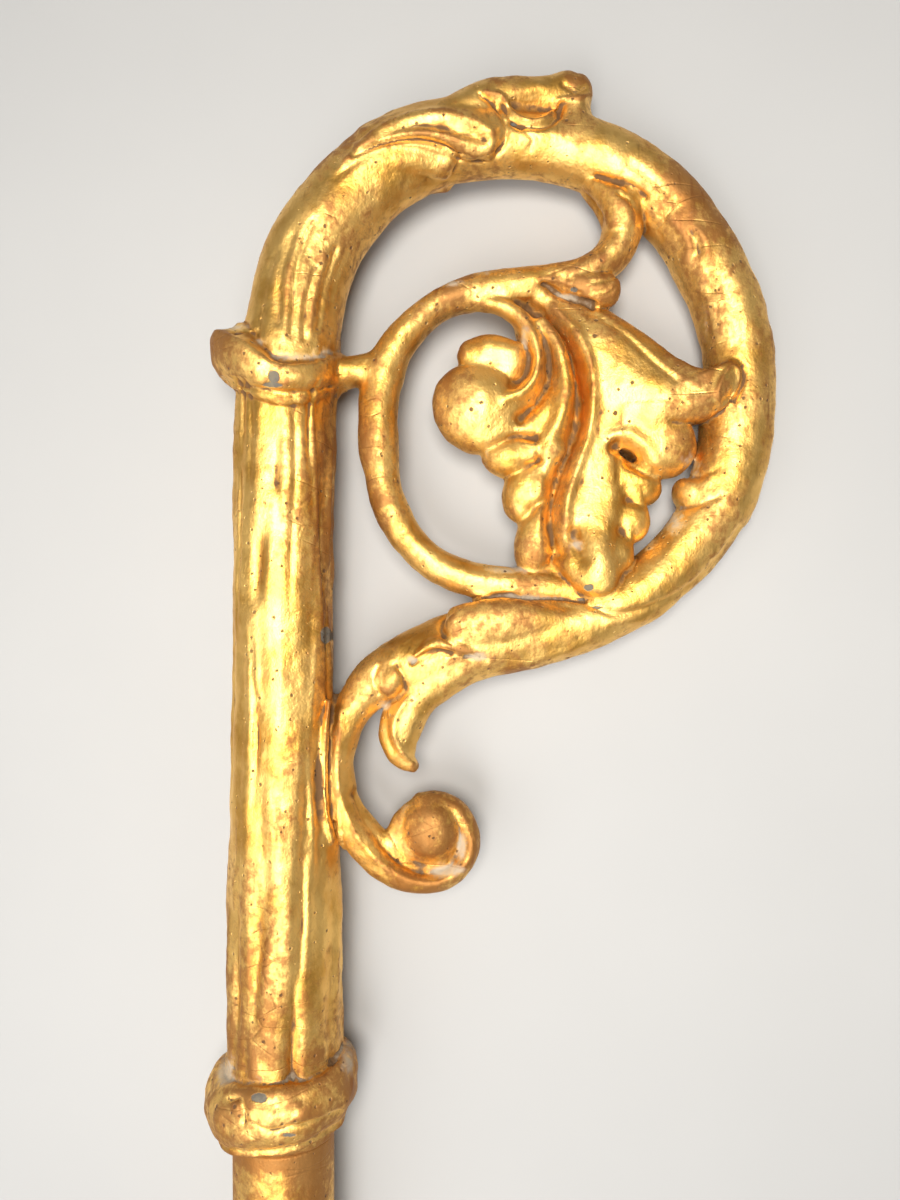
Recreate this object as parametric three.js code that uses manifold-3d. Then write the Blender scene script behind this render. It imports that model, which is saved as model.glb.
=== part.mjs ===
// A bishop's crosier in carved and gilded wood, lying down with its crook beside the staff.
// Lengths are in millimetres. The carving is drawn in the head's own frame: u to the crook's
// side, v up the staff, w out of the carved face, with 0,0,0 on the axis inside the knop.
// The finished group lies along +X, with the origin at the centre of the staff's flat foot.
import * as THREE from "three";
import { mergeVertices } from "three/addons/utils/BufferGeometryUtils.js";
import Module from "manifold-3d";

// Driving dimensions of the staff
const STAFF_LENGTH = 1440; // flat foot to the joint below the knop
const STAFF_RADIUS = 15.2; // at the joint
const FOOT_RADIUS = 13.4; // at the foot
const FOOT_RING_HEIGHT = 17; // along the staff
const FOOT_RING_RISE = 24; // plain end of the staff beyond the ring
const JOINT_GAP = 0.3; // between the staff's end and the head

// Driving dimensions of the head
const HEAD_HEIGHT = 316; // underside of the knop to the top of the crook
const SHAFT_LOW_RADIUS = 17; // just above the knop
const SHAFT_HIGH_RADIUS = 15; // at the collar
const KNOP_RADIUS = 22.8;
const KNOP_HEIGHT = 20;
const KNOP_TILT = 2.4; // rise of the knop's crook side
const KNOP_LEAN = 0.034; // how much fuller the knop is on the other side
const COLLAR_PROUD = 4.4; // collar over the shaft, at the front
const CROOK_RADIUS = 10.4; // half width of the crook's right limb
const CROOK_DEPTH = 10.2; // half depth of the same limb
const STEM_DEPTH = 6; // half depth of the inner stem
const SCROLL_DEPTH = 7; // half depth of the scroll below the crook
const LEAF_THICKNESS = 6.5; // half thickness of the leaf at its heart
const RELIEF = 2.2; // height of the small leaves carved on the crook
const FLAT_DEPTH = 0.55; // rubbed flat spots that the work lies on

// The head is drawn at 316 mm, so its carving keeps its shares when the height changes.
const DRAWN_HEIGHT = 316;
const K = HEAD_HEIGHT / DRAWN_HEIGHT;
const BASE = -9.5 * K; // underside of the head
const KNOP_MIDDLE = 2.2 * K;
const COLLAR_MIDDLE = 219 * K;
const KNOP_LIP = 2.5; // flat lip under the knop

// The face's small leaves are drawn as an eye sees them from this height above this point.
const EYE_HEIGHT = 272;
const EYE_AT = [49.8, 148.5];

const wasm = await Module();
wasm.setup();

// Joins and cuts

function solid(geometry) {
  const bare = new THREE.BufferGeometry();
  bare.setAttribute("position", geometry.getAttribute("position"));
  bare.setIndex(geometry.getIndex());
  const merged = mergeVertices(bare, 1e-4);
  const made = new wasm.Manifold(
    new wasm.Mesh({
      numProp: 3,
      vertProperties: new Float32Array(merged.attributes.position.array),
      triVerts: new Uint32Array(merged.index.array),
    }),
  );
  if (made.volume() < 0) throw new Error("a form is inside out");
  return made;
}

function geometryOf(made) {
  const mesh = made.getMesh();
  const geometry = new THREE.BufferGeometry();
  geometry.setAttribute("position", new THREE.BufferAttribute(mesh.vertProperties, 3));
  geometry.setIndex(new THREE.BufferAttribute(mesh.triVerts, 1));
  geometry.computeVertexNormals();
  return geometry;
}

// A closed surface from rings of equal length, with one vertex at each end.
function skin(rings, first, last) {
  const sides = rings[0].length;
  const positions = [first, ...rings.flat(), last].flatMap((p) => [p.x, p.y, p.z]);
  const at = (ring, side) => 1 + ring * sides + (side % sides);
  const end = 1 + rings.length * sides;
  const index = [];
  for (let side = 0; side < sides; side++) {
    index.push(0, at(0, side + 1), at(0, side));
    index.push(end, at(rings.length - 1, side), at(rings.length - 1, side + 1));
    for (let ring = 0; ring + 1 < rings.length; ring++) {
      index.push(at(ring, side), at(ring, side + 1), at(ring + 1, side + 1));
      index.push(at(ring, side), at(ring + 1, side + 1), at(ring + 1, side));
    }
  }
  const geometry = new THREE.BufferGeometry();
  geometry.setAttribute("position", new THREE.Float32BufferAttribute(positions, 3));
  geometry.setIndex(index);
  return solid(geometry);
}

// A limb swept along a smooth curve through stations of u, v, w, half width and half depth.
// MAX_TURN and MAX_STEP set how finely it is faceted. carve(t, angle) gives a radial offset.
const MAX_TURN = THREE.MathUtils.degToRad(11);
const MAX_STEP = 46;

function limb(stations, { sides = 12, turn = MAX_TURN, blunt = 0.8, carve = () => 0 } = {}) {
  const points = stations.map(([u, v, w]) => new THREE.Vector3(u, v, w));
  const sizes = stations.map((s) => new THREE.Vector3(s[3], s[4], 0));
  const path = new THREE.CatmullRomCurve3(points);
  const size = new THREE.CatmullRomCurve3(sizes);
  const last = stations.length - 1;
  const times = [];
  for (let i = 0; i < last; i++) {
    const bend = path.getTangent(i / last).angleTo(path.getTangent((i + 1) / last));
    const length = points[i].distanceTo(points[i + 1]);
    const pieces = Math.max(1, Math.ceil(bend / turn), Math.ceil(length / MAX_STEP));
    for (let j = 0; j < pieces; j++) times.push((i + j / pieces) / last);
  }
  times.push(1);
  const front = new THREE.Vector3(0, 0, 1);
  const ringAt = (t, shift, scale) => {
    const along = path.getTangent(t);
    const side = new THREE.Vector3().crossVectors(front, along).normalize();
    const out = new THREE.Vector3().crossVectors(along, side);
    const centre = path.getPoint(t).addScaledVector(along, shift);
    const half = size.getPoint(t);
    const ring = [];
    for (let k = 0; k < sides; k++) {
      const angle = (2 * Math.PI * k) / sides;
      const offset = carve(t, angle);
      const point = centre.clone();
      point.addScaledVector(side, (half.x + offset) * scale * Math.cos(angle));
      point.addScaledVector(out, (half.y + offset) * scale * Math.sin(angle));
      ring.push(point);
    }
    return { ring, centre, along, reach: Math.min(half.x, half.y) * blunt };
  };
  const rings = times.map((t) => ringAt(t, 0, 1));
  const start = rings[0];
  const stop = rings[rings.length - 1];
  const ROUND_ANGLE = 0.7; // of the one ring on each rounded end
  const rise = Math.sin(ROUND_ANGLE);
  const narrow = Math.cos(ROUND_ANGLE);
  const capStart = ringAt(0, -start.reach * rise, narrow).ring;
  const capStop = ringAt(1, stop.reach * rise, narrow).ring;
  const list = rings.map((r) => r.ring);
  if (blunt > 0) {
    list.unshift(capStart);
    list.push(capStop);
  }
  return skin(
    list,
    start.centre.clone().addScaledVector(start.along, -start.reach),
    stop.centre.clone().addScaledVector(stop.along, stop.reach),
  );
}

// A turned form about the staff's axis: the profile gives radius and height, and shape(angle,
// radius, height) may shift them, as on a knop that was carved by hand.
function turned(profile, sides, shape = (angle, radius, height) => [radius, height]) {
  const rings = profile.map(([radius, height]) => {
    const ring = [];
    for (let k = 0; k < sides; k++) {
      const angle = (-2 * Math.PI * k) / sides;
      const [r, h] = shape(angle, radius, height);
      ring.push(new THREE.Vector3(r * Math.cos(angle), h, r * Math.sin(angle)));
    }
    return ring;
  });
  const low = new THREE.Vector3(0, profile[0][1], 0);
  const high = new THREE.Vector3(0, profile[profile.length - 1][1], 0);
  return skin(rings, low, high);
}

// The same stations on the hidden side.
function behind(stations) {
  return stations.map(([u, v, w, a, b]) => [u, v, -w, a, b]);
}

function scaled(stations) {
  return stations.map(([u, v, w, a, b]) => [u * K, v * K, w * K, a, b]);
}

// Stations of a leaf drawn as the eye sees it, brought to its own depth
function laid(stations) {
  const FACE = 0.7; // share of the half depth at which the leaf's outline is seen
  return stations.map(([u, v, w, a, b]) => {
    const near = 1 - (w + FACE * b) / EYE_HEIGHT;
    const [cu, cv] = EYE_AT;
    return [cu + (u - cu) * near, cv + (v - cv) * near, w, a * near, b];
  });
}

// Where the eye sees a point of the face
function drawn(u, v, w) {
  const near = 1 - Math.abs(w) / EYE_HEIGHT;
  return EYE_AT.map((centre, i) => centre + ([u, v][i] - centre) / near);
}

// The shaft and the crook: one limb from the knop, over the top and back to the scroll
function crookSolid() {
  const low = SHAFT_LOW_RADIUS;
  const high = SHAFT_HIGH_RADIUS;
  const r = CROOK_RADIUS;
  const d = CROOK_DEPTH;
  const s = SCROLL_DEPTH;
  const stations = scaled([
    [0, -9.5, 0, STAFF_RADIUS + 0.6, STAFF_RADIUS + 0.6],
    [0, 22, 0, low, low],
    [0, 62, 0, low - 0.3, low - 0.3],
    [0, 104, 0, high + 0.5, high + 0.5],
    [0, 150, 0, high, high],
    [0.4, 205, 0, high, high],
    [3.2, 232, 0, 1.35 * r, 1.32 * d],
    [6.8, 247, 0, 1.34 * r, 1.28 * d],
    [16.5, 264.5, 0, 1.26 * r, 1.2 * d],
    [32, 279, 0, 1.22 * r, 1.16 * d],
    [51, 285.6, 0, 1.12 * r, 1.1 * d],
    [70, 285, 0, 0.94 * r, d],
    [87, 283, 0, 0.95 * r, d],
    [102, 277, 0, r, d],
    [115, 266.5, 0, 0.98 * r, d],
    [126, 251, 0, r, d],
    [133.5, 234.5, 0, r, d],
    [136.6, 214, 0, 1.02 * r, d],
    [135, 192, 0, 1.03 * r, d],
    [129, 175.5, 0, r, d],
    [117.5, 160, 0, 0.92 * r, d],
    [102, 148, 0, 0.89 * r, d],
    [84, 140, 0, 0.9 * r, d],
    [64, 137.5, 0, 1.1 * r, 1.05 * d],
    [47, 132.3, 0, 1.12 * r, d],
    [33, 127.5, 0, 0.9 * r, 1.2 * s],
    [23.5, 121, 0, 0.68 * r, 1.05 * s],
    [18, 111, 0, 0.5 * r, s],
    [16.4, 99, 0, 0.48 * r, 0.95 * s],
    [17.6, 88, 0, 0.5 * r, 0.9 * s],
    [22, 79.6, 0, 0.6 * r, 0.92 * s],
    [28.6, 72, 0, 0.58 * r, 0.9 * s],
    [36.5, 66.4, 0, 0.48 * r, 0.85 * s],
    [46, 65.2, 0, 0.38 * r, 0.82 * s],
    [53.4, 69.8, 0, 0.32 * r, 0.77 * s],
    [55.3, 78.4, 0, 0.3 * r, 0.72 * s],
    [50.6, 86.6, 0, 0.3 * r, 0.68 * s],
    [41.4, 88.3, 0, 0.26 * r, 0.58 * s],
  ]);
  // Long flutes wind up the crook's rise and fade out over its top.
  const FLUTE_DEPTH = 0.8;
  const FLUTES = 7;
  const FLUTE_START = 0.14;
  const FLUTE_END = 0.34;
  // A hollow runs down both faces of the scroll below the crook.
  const HOLLOW_DEPTH = 1.9;
  const HOLLOW_START = 0.7;
  const carve = (t, angle) => {
    const along = THREE.MathUtils.smoothstep(t, FLUTE_START, FLUTE_START + 0.03);
    const fade = 1 - THREE.MathUtils.smoothstep(t, FLUTE_END - 0.08, FLUTE_END);
    const flute = FLUTE_DEPTH * along * fade * (0.5 - 0.5 * Math.cos(FLUTES * angle));
    const scroll = THREE.MathUtils.smoothstep(t, HOLLOW_START, HOLLOW_START + 0.05);
    return -flute - HOLLOW_DEPTH * scroll * Math.abs(Math.sin(angle)) ** 8;
  };
  return limb(stations, { sides: 2 * FLUTES, blunt: 0, carve });
}

// The eye of the scroll: a ball in a shallow round hollow
function voluteSolid() {
  const s = SCROLL_DEPTH;
  const balls = [
    [43.4, 76.8, 12.6, 13, 0.66 * s, 4],
    [44.2, 80.4, 8.8, 9.9, 1.31 * s, 6],
  ];
  return balls.map(([u, v, a, b, c, rings]) => {
    const ball = new THREE.SphereGeometry(1, 12, rings);
    ball.rotateX(Math.PI / 2);
    ball.scale(a * K, b * K, c);
    ball.translate(u * K, v * K, 0);
    return solid(ball);
  });
}

// The inner stem: it springs from the crook's right shoulder and runs round to its foot
function stemSolid() {
  const d = STEM_DEPTH;
  const stations = scaled([
    [104, 273, 0, 6, 1.3 * d],
    [101.6, 261, 0, 5.9, 1.3 * d],
    [99.6, 253.6, 0, 5.6, 1.27 * d],
    [94.6, 248.6, 0, 5.1, 1.23 * d],
    [86, 245, 0, 4.9, 1.2 * d],
    [67, 241.4, 0, 6, 1.13 * d],
    [56, 240.2, 0, 5.2, 1.1 * d],
    [47, 236.8, 0, 4.6, 1.1 * d],
    [36.5, 228, 0, 5.1, 1.1 * d],
    [29.8, 216, 0, 6, 1.1 * d],
    [28.3, 200, 0, 6, 1.05 * d],
    [30, 182.5, 0, 5.6, d],
    [37, 167.5, 0, 5.1, d],
    [49, 157.3, 0, 5.2, d],
    [63, 153.5, 0, 5.2, 1.05 * d],
    [80, 152, 0, 5.6, 1.1 * d],
    [96, 150, 0, 4.4, d],
  ]);
  return limb(stations, { sides: 10, turn: 1.2 * MAX_TURN });
}

// Small carved leaves: short limbs that taper, lying on the crook. Each row holds u, v, w, half
// width and half depth, and the ones marked true show on the hidden side too.
function leafletSolids() {
  const d = CROOK_DEPTH;
  const h = RELIEF;
  const forms = [
    // the crocket along the crook's top, with its broken tip, and its neck
    [false, [[48, 290, 0, 6, d + 1.2], [60, 294.4, 0, 7.8, d + 0.6], [70, 296.6, 0, 7, d - 0.4],
      [79, 297.8, 0, 6.8, 0.84 * d], [85.6, 300, 0, 6.9, 0.72 * d], [88.4, 300.6, 0, 5.2, 0.6 * d]]],
    [false, [[86.4, 300, 0, 4.6, 0.63 * d], [86.8, 288, 0, 6, 0.84 * d]]],
    // two long lobes that lie on the crook's rise
    [true, laid([[16, 277, d - 0.6, 1.4, 1.2 * h], [30, 287, d - 0.6, 4, 1.6 * h],
      [46, 290.8, d - 1.2, 6.6, 1.8 * h], [62, 289.2, d - 2.4, 7.2, 1.8 * h]])],
    [true, laid([[14, 271, d - 0.4, 1.4, 1.1 * h], [26, 280, d - 0.8, 3.2, 1.5 * h],
      [38, 281.8, d - 2.2, 4.2, 1.6 * h], [48, 279.8, d - 5.2, 3.8, 1.5 * h]])],
    // the head of the small leaf that folds over the shoulder
    [true, laid([[92, 274, 2.4, 2, 1.4 * h], [97.4, 271.4, 4, 4, 1.8 * h],
      [101.2, 267.4, 5, 5.2, 2 * h], [102, 262.8, 5, 5, 1.8 * h]])],
    // its lower end, curled over the stem
    [true, laid([[84, 244.6, 2.6, 2.4, 1.5 * h], [89, 243.6, 3.4, 4.4, 2.1 * h],
      [97.6, 242.6, 3.6, 5.2, 2.3 * h]])],
    // the sheath at the crook's end, in three lobes
    [true, laid([[88, 143.6, d - 4.8, 2.2, 1.5 * h], [76, 142.6, d - 3.2, 5.4, 2 * h],
      [64, 141.8, d - 2.4, 7.2, 2.2 * h], [51.8, 140.4, d - 3.2, 6.4, 2.1 * h]])],
    [true, laid([[63, 130.6, d - 4.4, 1.6, 1.3 * h], [57, 132.4, d - 3, 2.2, 1.5 * h],
      [50.5, 135, d - 2.4, 2.6, 1.6 * h], [40, 131.6, d - 3.2, 1.8, 1.4 * h]])],
    [true, laid([[37, 128.6, d - 4.8, 2.4, 1.5 * h], [33, 125.6, d - 4.4, 3.8, 1.7 * h],
      [30.8, 122.4, d - 5, 3.8, 1.6 * h]])],
    // the leaf that hangs from the sheath
    [false, [[54, 128.5, 0, 5, 0.78 * d], [46, 124, 0, 6.4, 0.78 * d],
      [39.6, 118.6, 0, 6.4, 0.72 * d], [35.6, 111.6, 0, 6.6, 0.65 * d],
      [34.6, 105.6, 0, 5.6, 0.55 * d], [36.4, 100.6, 0, 3.6, 0.39 * d],
      [39, 98.4, 0, 1.6, 0.25 * d]]],
    // the stub of a twig inside the right limb
    [false, [[133, 183.4, 0, 4.8, 0.63 * d], [125, 180.8, 1, 4.3, 0.57 * d],
      [120.2, 180.2, 1.2, 4.7, 0.55 * d]]],
    // the tip of the big leaf, curled over the right limb
    [false, laid([[123, 208.5, d - 4.2, 4.6, 2.1 * h], [129, 211.4, d - 1.2, 4.2, 1.6 * h],
      [133, 215, d - 0.6, 2.6, 1.3 * h]])],
    // the bridge from the collar to the stem
    [false, [[13.6, 216, 0, 6.4, 0.63 * d], [20, 216.8, 0, 4.9, 0.53 * d],
      [31, 217.4, 0, 7, 0.53 * d]]],
    // a thin ridge between the shaft and the scroll
    [true, [[14.6, 119, 7.2, 0.9, 0.8 * h], [13.4, 104, 8, 1.1, 0.9 * h],
      [13.6, 88, 8, 1, 0.9 * h], [15.4, 78, 6.6, 0.8, 0.7 * h]]],
  ];
  const solids = [];
  for (const [both, rows] of forms) {
    solids.push(limb(scaled(rows), { sides: 7, turn: 4 * MAX_TURN }));
    if (both) solids.push(limb(scaled(behind(rows)), { sides: 6, turn: 4 * MAX_TURN }));
  }
  return solids;
}

// The large acanthus leaf. Its outline is a ring of lobes, each a smooth curve between two
// notches, round the leaf's heart.
const LEAF_HEART = [94, 200];
const LEAF_LOBES = [
  [[70.3, 225], [65, 226.6], [58, 227], [52.6, 222.5], [54, 218.2]],
  [[54, 218.2], [47.8, 213.4], [45.4, 206], [48, 199.4], [54, 195], [60.4, 193]],
  [[60.4, 193], [61.5, 188.5], [67.2, 185.3]],
  [[67.2, 185.3], [66, 178.5], [70.6, 171.8]],
  [[70.6, 171.8], [69.4, 164], [71.6, 157], [76, 157.4], [80, 162.5]],
  [[80, 162.5], [84, 154.3], [90.5, 149.6], [96, 150], [99.5, 156], [104.2, 165.5]],
  [[104.2, 165.5], [109, 171.5], [107.7, 176.8]],
  [[107.7, 176.8], [112.5, 181.2], [111.3, 185.3]],
  [[111.3, 185.3], [119, 187.6], [122, 194], [120.3, 200.3]],
  [[120.3, 200.3], [127.5, 202.6], [131.6, 207], [134.6, 213], [132, 217.4], [126, 215.8]],
  [[126, 215.8], [118, 218.5], [106, 229], [94, 237], [84, 243], [74, 241.5], [70.3, 225]],
];

// Ridges and valleys of the leaf's face, as the eye sees them: height, spread and the points
// that they run through
const LEAF_FOLDS = [
  // the deep midrib and the valley beside it
  [-5, 3.2, [[73, 237], [77.4, 234.4], [82.6, 228], [86.4, 220], [88.2, 212], [88.4, 205],
    [87.2, 197.6], [84.4, 190], [81.8, 183], [80.4, 175], [80.4, 167.5]]],
  [-2.6, 2.8, [[79, 229], [80.2, 221], [79, 213.4], [75.6, 207.6], [71, 203.6]]],
  [-2.6, 2.8, [[74, 224.6], [73.6, 218.6], [70.6, 214.4], [66, 212.6]]],
  // the middle of the lower lobe and the step down to its frilled edge
  [2, 5, [[94, 194], [95.6, 184], [95.4, 174], [94, 160]]],
  [-1.8, 2.6, [[101, 189], [102.8, 181.6], [102, 174], [100.6, 168], [99.4, 161]]],
  // the ridge above the slit, and the broad wing
  [2, 2.6, [[98.4, 196.6], [101.6, 198.2], [105.4, 197.4], [109, 193.6], [111.4, 189.6]]],
  [2.4, 9, [[97, 224], [104, 215], [112, 209]]],
  [1.4, 3, [[122, 207], [128, 209.6], [133, 213.6]]],
];
// Rounded lobes of the leaf: the middle of each, and its half sizes. They rise from the face.
const LEAF_PADS = [
  [58, 206, 0.6, 12.3, 12.3, 8.4],
  [67.8, 190.8, 0.4, 7.6, 5.7, 5.6],
  [71.2, 179.2, 0.4, 5.4, 7.3, 5.4],
  [74.2, 163.8, 1.4, 4.8, 7.2, 5.4],
  [80.2, 193, 4.2, 3.9, 3.7, 4.2],
  [112.8, 193.4, 1.4, 9, 8, 6.6],
  [107, 181.4, 1, 5.2, 4.2, 4.8],
  [104, 171.6, 2, 4.6, 5.4, 4.4],
  [93.4, 156.8, 6, 5.8, 7.4, 4.8],
];
// Rolls of the leaf beside the midrib
const LEAF_ROLLS = [
  [[55.6, 221.8, 0.4, 4.3, 4.4], [62, 222.5, 1.2, 4.8, 5.2], [69, 221, 1.8, 4.4, 5]],
  laid([[58, 238.6, 2.4, 2, 3], [65.4, 237.2, 3.4, 2.4, 3.6], [74.2, 229, 4.6, 2.6, 3.8],
    [76.2, 222.4, 4.8, 2, 3.8], [71.8, 211.4, 5.2, 1.7, 3.2], [66, 208.8, 5.8, 1.5, 2.6]]),
  laid([[77.6, 232.4, 4.2, 1.8, 3.2], [84, 219, 5, 2.5, 3.8], [84.6, 211, 5, 2.6, 3.8],
    [83, 203.4, 4.6, 2.6, 3.6], [79.8, 197.6, 4, 2.4, 3]]),
];
const LEAF_SIDES = 64;
const FACE_RINGS = [0.18, 0.35, 0.51, 0.66, 0.8, 0.92, 1];
const BACK_RINGS = [0.4, 0.8, 1];

// Least distance from a point to a chain of straight stretches.
function distanceTo(chain, u, v) {
  let least = Infinity;
  for (let i = 0; i + 1 < chain.length; i++) {
    const [au, av] = chain[i];
    const [bu, bv] = chain[i + 1];
    const length2 = (bu - au) ** 2 + (bv - av) ** 2;
    const share = ((u - au) * (bu - au) + (v - av) * (bv - av)) / length2;
    const t = THREE.MathUtils.clamp(share, 0, 1);
    least = Math.min(least, Math.hypot(u - au - t * (bu - au), v - av - t * (bv - av)));
  }
  return least;
}

// The leaf's middle surface comes forward at its tip and at the curl over the right limb.
function leafMiddle(u, v) {
  const TIP = [7, 94, 152, 17];
  const CURL = [7, 132, 216, 27];
  return [TIP, CURL].reduce(
    (sum, [rise, cu, cv, reach]) =>
      sum + rise * Math.exp(-((u - cu) ** 2 + (v - cv) ** 2) / reach ** 2),
    0,
  );
}

function leafSolid() {
  const outline = LEAF_LOBES.flatMap((lobe) => {
    const curve = new THREE.SplineCurve(lobe.map(([u, v]) => new THREE.Vector2(u, v)));
    return curve.getPoints(8 * lobe.length).slice(0, -1);
  });
  const [hu, hv] = LEAF_HEART;
  // How far the outline lies from the heart in a given direction.
  const reach = (angle) => {
    const du = Math.cos(angle);
    const dv = Math.sin(angle);
    let far = 0;
    outline.forEach((p, i) => {
      const q = outline[(i + 1) % outline.length];
      const cross = du * (q.y - p.y) - dv * (q.x - p.x);
      if (Math.abs(cross) < 1e-9) return;
      const along = ((p.x - hu) * (q.y - p.y) - (p.y - hv) * (q.x - p.x)) / cross;
      const share = ((p.x - hu) * dv - (p.y - hv) * du) / cross;
      if (along > 0 && share >= 0 && share <= 1) far = Math.max(far, along);
    });
    return far;
  };
  const EDGE = 1.9; // half thickness at the leaf's rim
  const place = (ring, angle, side) => {
    const far = reach(angle) * ring;
    const u = hu + far * Math.cos(angle);
    const v = hv + far * Math.sin(angle);
    const swell = EDGE + (LEAF_THICKNESS - EDGE) * Math.sqrt(1 - ring ** 4);
    const share = side > 0 ? 1 : 0.45;
    const seen = drawn(u, v, leafMiddle(u, v) + swell);
    const folds = LEAF_FOLDS.reduce(
      (sum, [height, spread, chain]) =>
        sum + height * Math.exp(-((distanceTo(chain, ...seen) / spread) ** 2)),
      0,
    );
    const relief = folds * share * (1 - ring ** 6);
    const middle = leafMiddle(u, v) * (side > 0 ? 1 : 0.5);
    const pad = LEAF_PADS.reduce((most, [pu, pv, pw, a, b, c]) => {
      const inside = 1 - ((u - pu) / a) ** 2 - ((v - pv) / b) ** 2;
      return inside > 0 ? Math.max(most, side * (pw - middle) + c * Math.sqrt(inside)) : most;
    }, 0);
    const w = middle + side * Math.max(swell + relief, pad);
    return new THREE.Vector3(u * K, v * K, w);
  };
  const rings = [];
  for (const side of [-1, 1]) {
    const list = side < 0 ? BACK_RINGS : [...FACE_RINGS].reverse();
    for (const ring of list) {
      const row = [];
      for (let k = 0; k < LEAF_SIDES; k++) {
        row.push(place(ring, (2 * Math.PI * k) / LEAF_SIDES, side));
      }
      rings.push(row);
    }
  }
  return skin(rings, place(0, 0, -1), place(0, 0, 1));
}

function leafRollSolids() {
  return LEAF_ROLLS.map((rows) => limb(scaled(rows), { sides: 6, turn: 4 * MAX_TURN }));
}

// The slit pierced between two lobes of the leaf
function slitSolid() {
  const THROUGH = 30; // half depth, past both faces
  const stations = [
    [101, 194, 0, 1.3, THROUGH],
    [103.4, 192.8, 0, 1.5, THROUGH],
    [105.6, 191.2, 0, 1.2, THROUGH],
  ];
  return limb(scaled(stations), { sides: 8 });
}

// The knop, carved by hand on the head's shaft, so a little higher on the crook's side
function knopSolid() {
  const low = KNOP_MIDDLE - KNOP_HEIGHT / 2;
  const profile = [[KNOP_RADIUS - 5.4, low + 0.2]];
  profile.push([KNOP_RADIUS - 3.4, low + 0.6]);
  profile.push([KNOP_RADIUS - 3.2, low + KNOP_LIP]);
  const ROUND_STEPS = 6;
  for (let i = 0; i <= ROUND_STEPS; i++) {
    const q = -0.42 * Math.PI + (0.9 * Math.PI * i) / ROUND_STEPS;
    const height = KNOP_MIDDLE + KNOP_LIP / 2 + (KNOP_HEIGHT / 2 - KNOP_LIP / 2) * Math.sin(q);
    profile.push([KNOP_RADIUS - 5.5 + 5.5 * Math.cos(q) ** 0.8, height]);
  }
  const shape = (angle, radius, height) => {
    const wave = 1 + 0.012 * Math.sin(3 * angle + 0.6) - KNOP_LEAN * Math.cos(angle);
    return [radius * wave, height + (KNOP_TILT * radius * Math.cos(angle)) / KNOP_RADIUS];
  };
  return turned(profile, 22, shape);
}

// The collar: a leafy band that dips before and behind, with a lobe turned up on the side away
// from the crook. Each row holds the degrees round from the crook's side, the heights of the
// lip, base and crest from the collar's middle, and how proud it is against its front.
const COLLAR_ROWS = [
  [0, -9, -7, 3, 0.6],
  [28, -10.8, -8.6, 0.8, 0.82],
  [45, -13.4, -10.4, -2.4, 0.9],
  [60, -14.6, -11.8, -4, 0.96],
  [80, -15.2, -12.3, -4.7, 1],
  [92, -14.6, -11.8, -3.6, 1.05],
  [100, -14, -11.2, -1.4, 1.14],
  [112, -12.8, -10.2, 1.3, 1.23],
  [124, -11.6, -9, 3.8, 1.32],
  [150, -8.8, -7, 7.6, 1.45],
  [180, -7, -5.6, 9.2, 1.5],
];

function collarRow(degrees) {
  const next = Math.max(1, COLLAR_ROWS.findIndex((row) => row[0] >= degrees - 1e-6));
  const [low, high] = [COLLAR_ROWS[next - 1], COLLAR_ROWS[next]];
  const share = (degrees - low[0]) / (high[0] - low[0]);
  return low.map((value, i) => THREE.MathUtils.lerp(value, high[i], share));
}

function collarSolid() {
  const SIDES = 26;
  const s = SHAFT_HIGH_RADIUS;
  const INNER = s - 4; // inside the shaft
  const rings = [];
  for (let k = 0; k < SIDES; k++) {
    const angle = (2 * Math.PI * k) / SIDES;
    const degrees = THREE.MathUtils.radToDeg(Math.min(angle, 2 * Math.PI - angle));
    const [, lip, base, crest, share] = collarRow(degrees);
    const proud = COLLAR_PROUD * share;
    const tall = crest - base;
    const section = [
      [INNER, lip],
      [s + 1.2, lip],
      [s + 1.4, base],
      [s + 0.9 * proud, base + 0.4 * tall],
      [s + proud, base + 0.8 * tall],
      [s + 0.86 * proud, crest],
      [s + 0.2, crest + 1.8],
      [INNER, crest + 2.8],
    ];
    rings.push(section.map(([radius, height]) => {
      const v = COLLAR_MIDDLE + height * K;
      return new THREE.Vector3(radius * Math.cos(angle), v, radius * Math.sin(angle));
    }));
  }
  const positions = rings.flat().flatMap((p) => [p.x, p.y, p.z]);
  const count = rings[0].length;
  const index = [];
  for (let k = 0; k < SIDES; k++) {
    for (let j = 0; j < count; j++) {
      const a = k * count + j;
      const b = k * count + ((j + 1) % count);
      const c = ((k + 1) % SIDES) * count + ((j + 1) % count);
      const e = ((k + 1) % SIDES) * count + j;
      index.push(a, b, c, a, c, e);
    }
  }
  const geometry = new THREE.BufferGeometry();
  geometry.setAttribute("position", new THREE.Float32BufferAttribute(positions, 3));
  geometry.setIndex(index);
  return solid(geometry);
}

// How the work lies: rolled about the staff until the crook's back is as low as the knop
const FLOOR = KNOP_RADIUS - FLAT_DEPTH; // the axis above the ground
const CROOK_OFFSET = 136.5 * K; // the axis to the middle of the right limb
const ROLL = Math.asin((FLOOR + FLAT_DEPTH - CROOK_DEPTH) / CROOK_OFFSET);

// A block that takes away what is below the ground, in the head's own frame
const SPARE = 50; // past the ends of what is cut

function groundBlock(from, to) {
  const DEEP = 60;
  const WIDE = 600 * K;
  const block = new THREE.BoxGeometry(WIDE, to - from, DEEP);
  block.translate(0, (from + to) / 2, -FLOOR - DEEP / 2);
  block.applyMatrix4(new THREE.Matrix4().makeRotationY(-ROLL));
  return solid(block);
}

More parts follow.
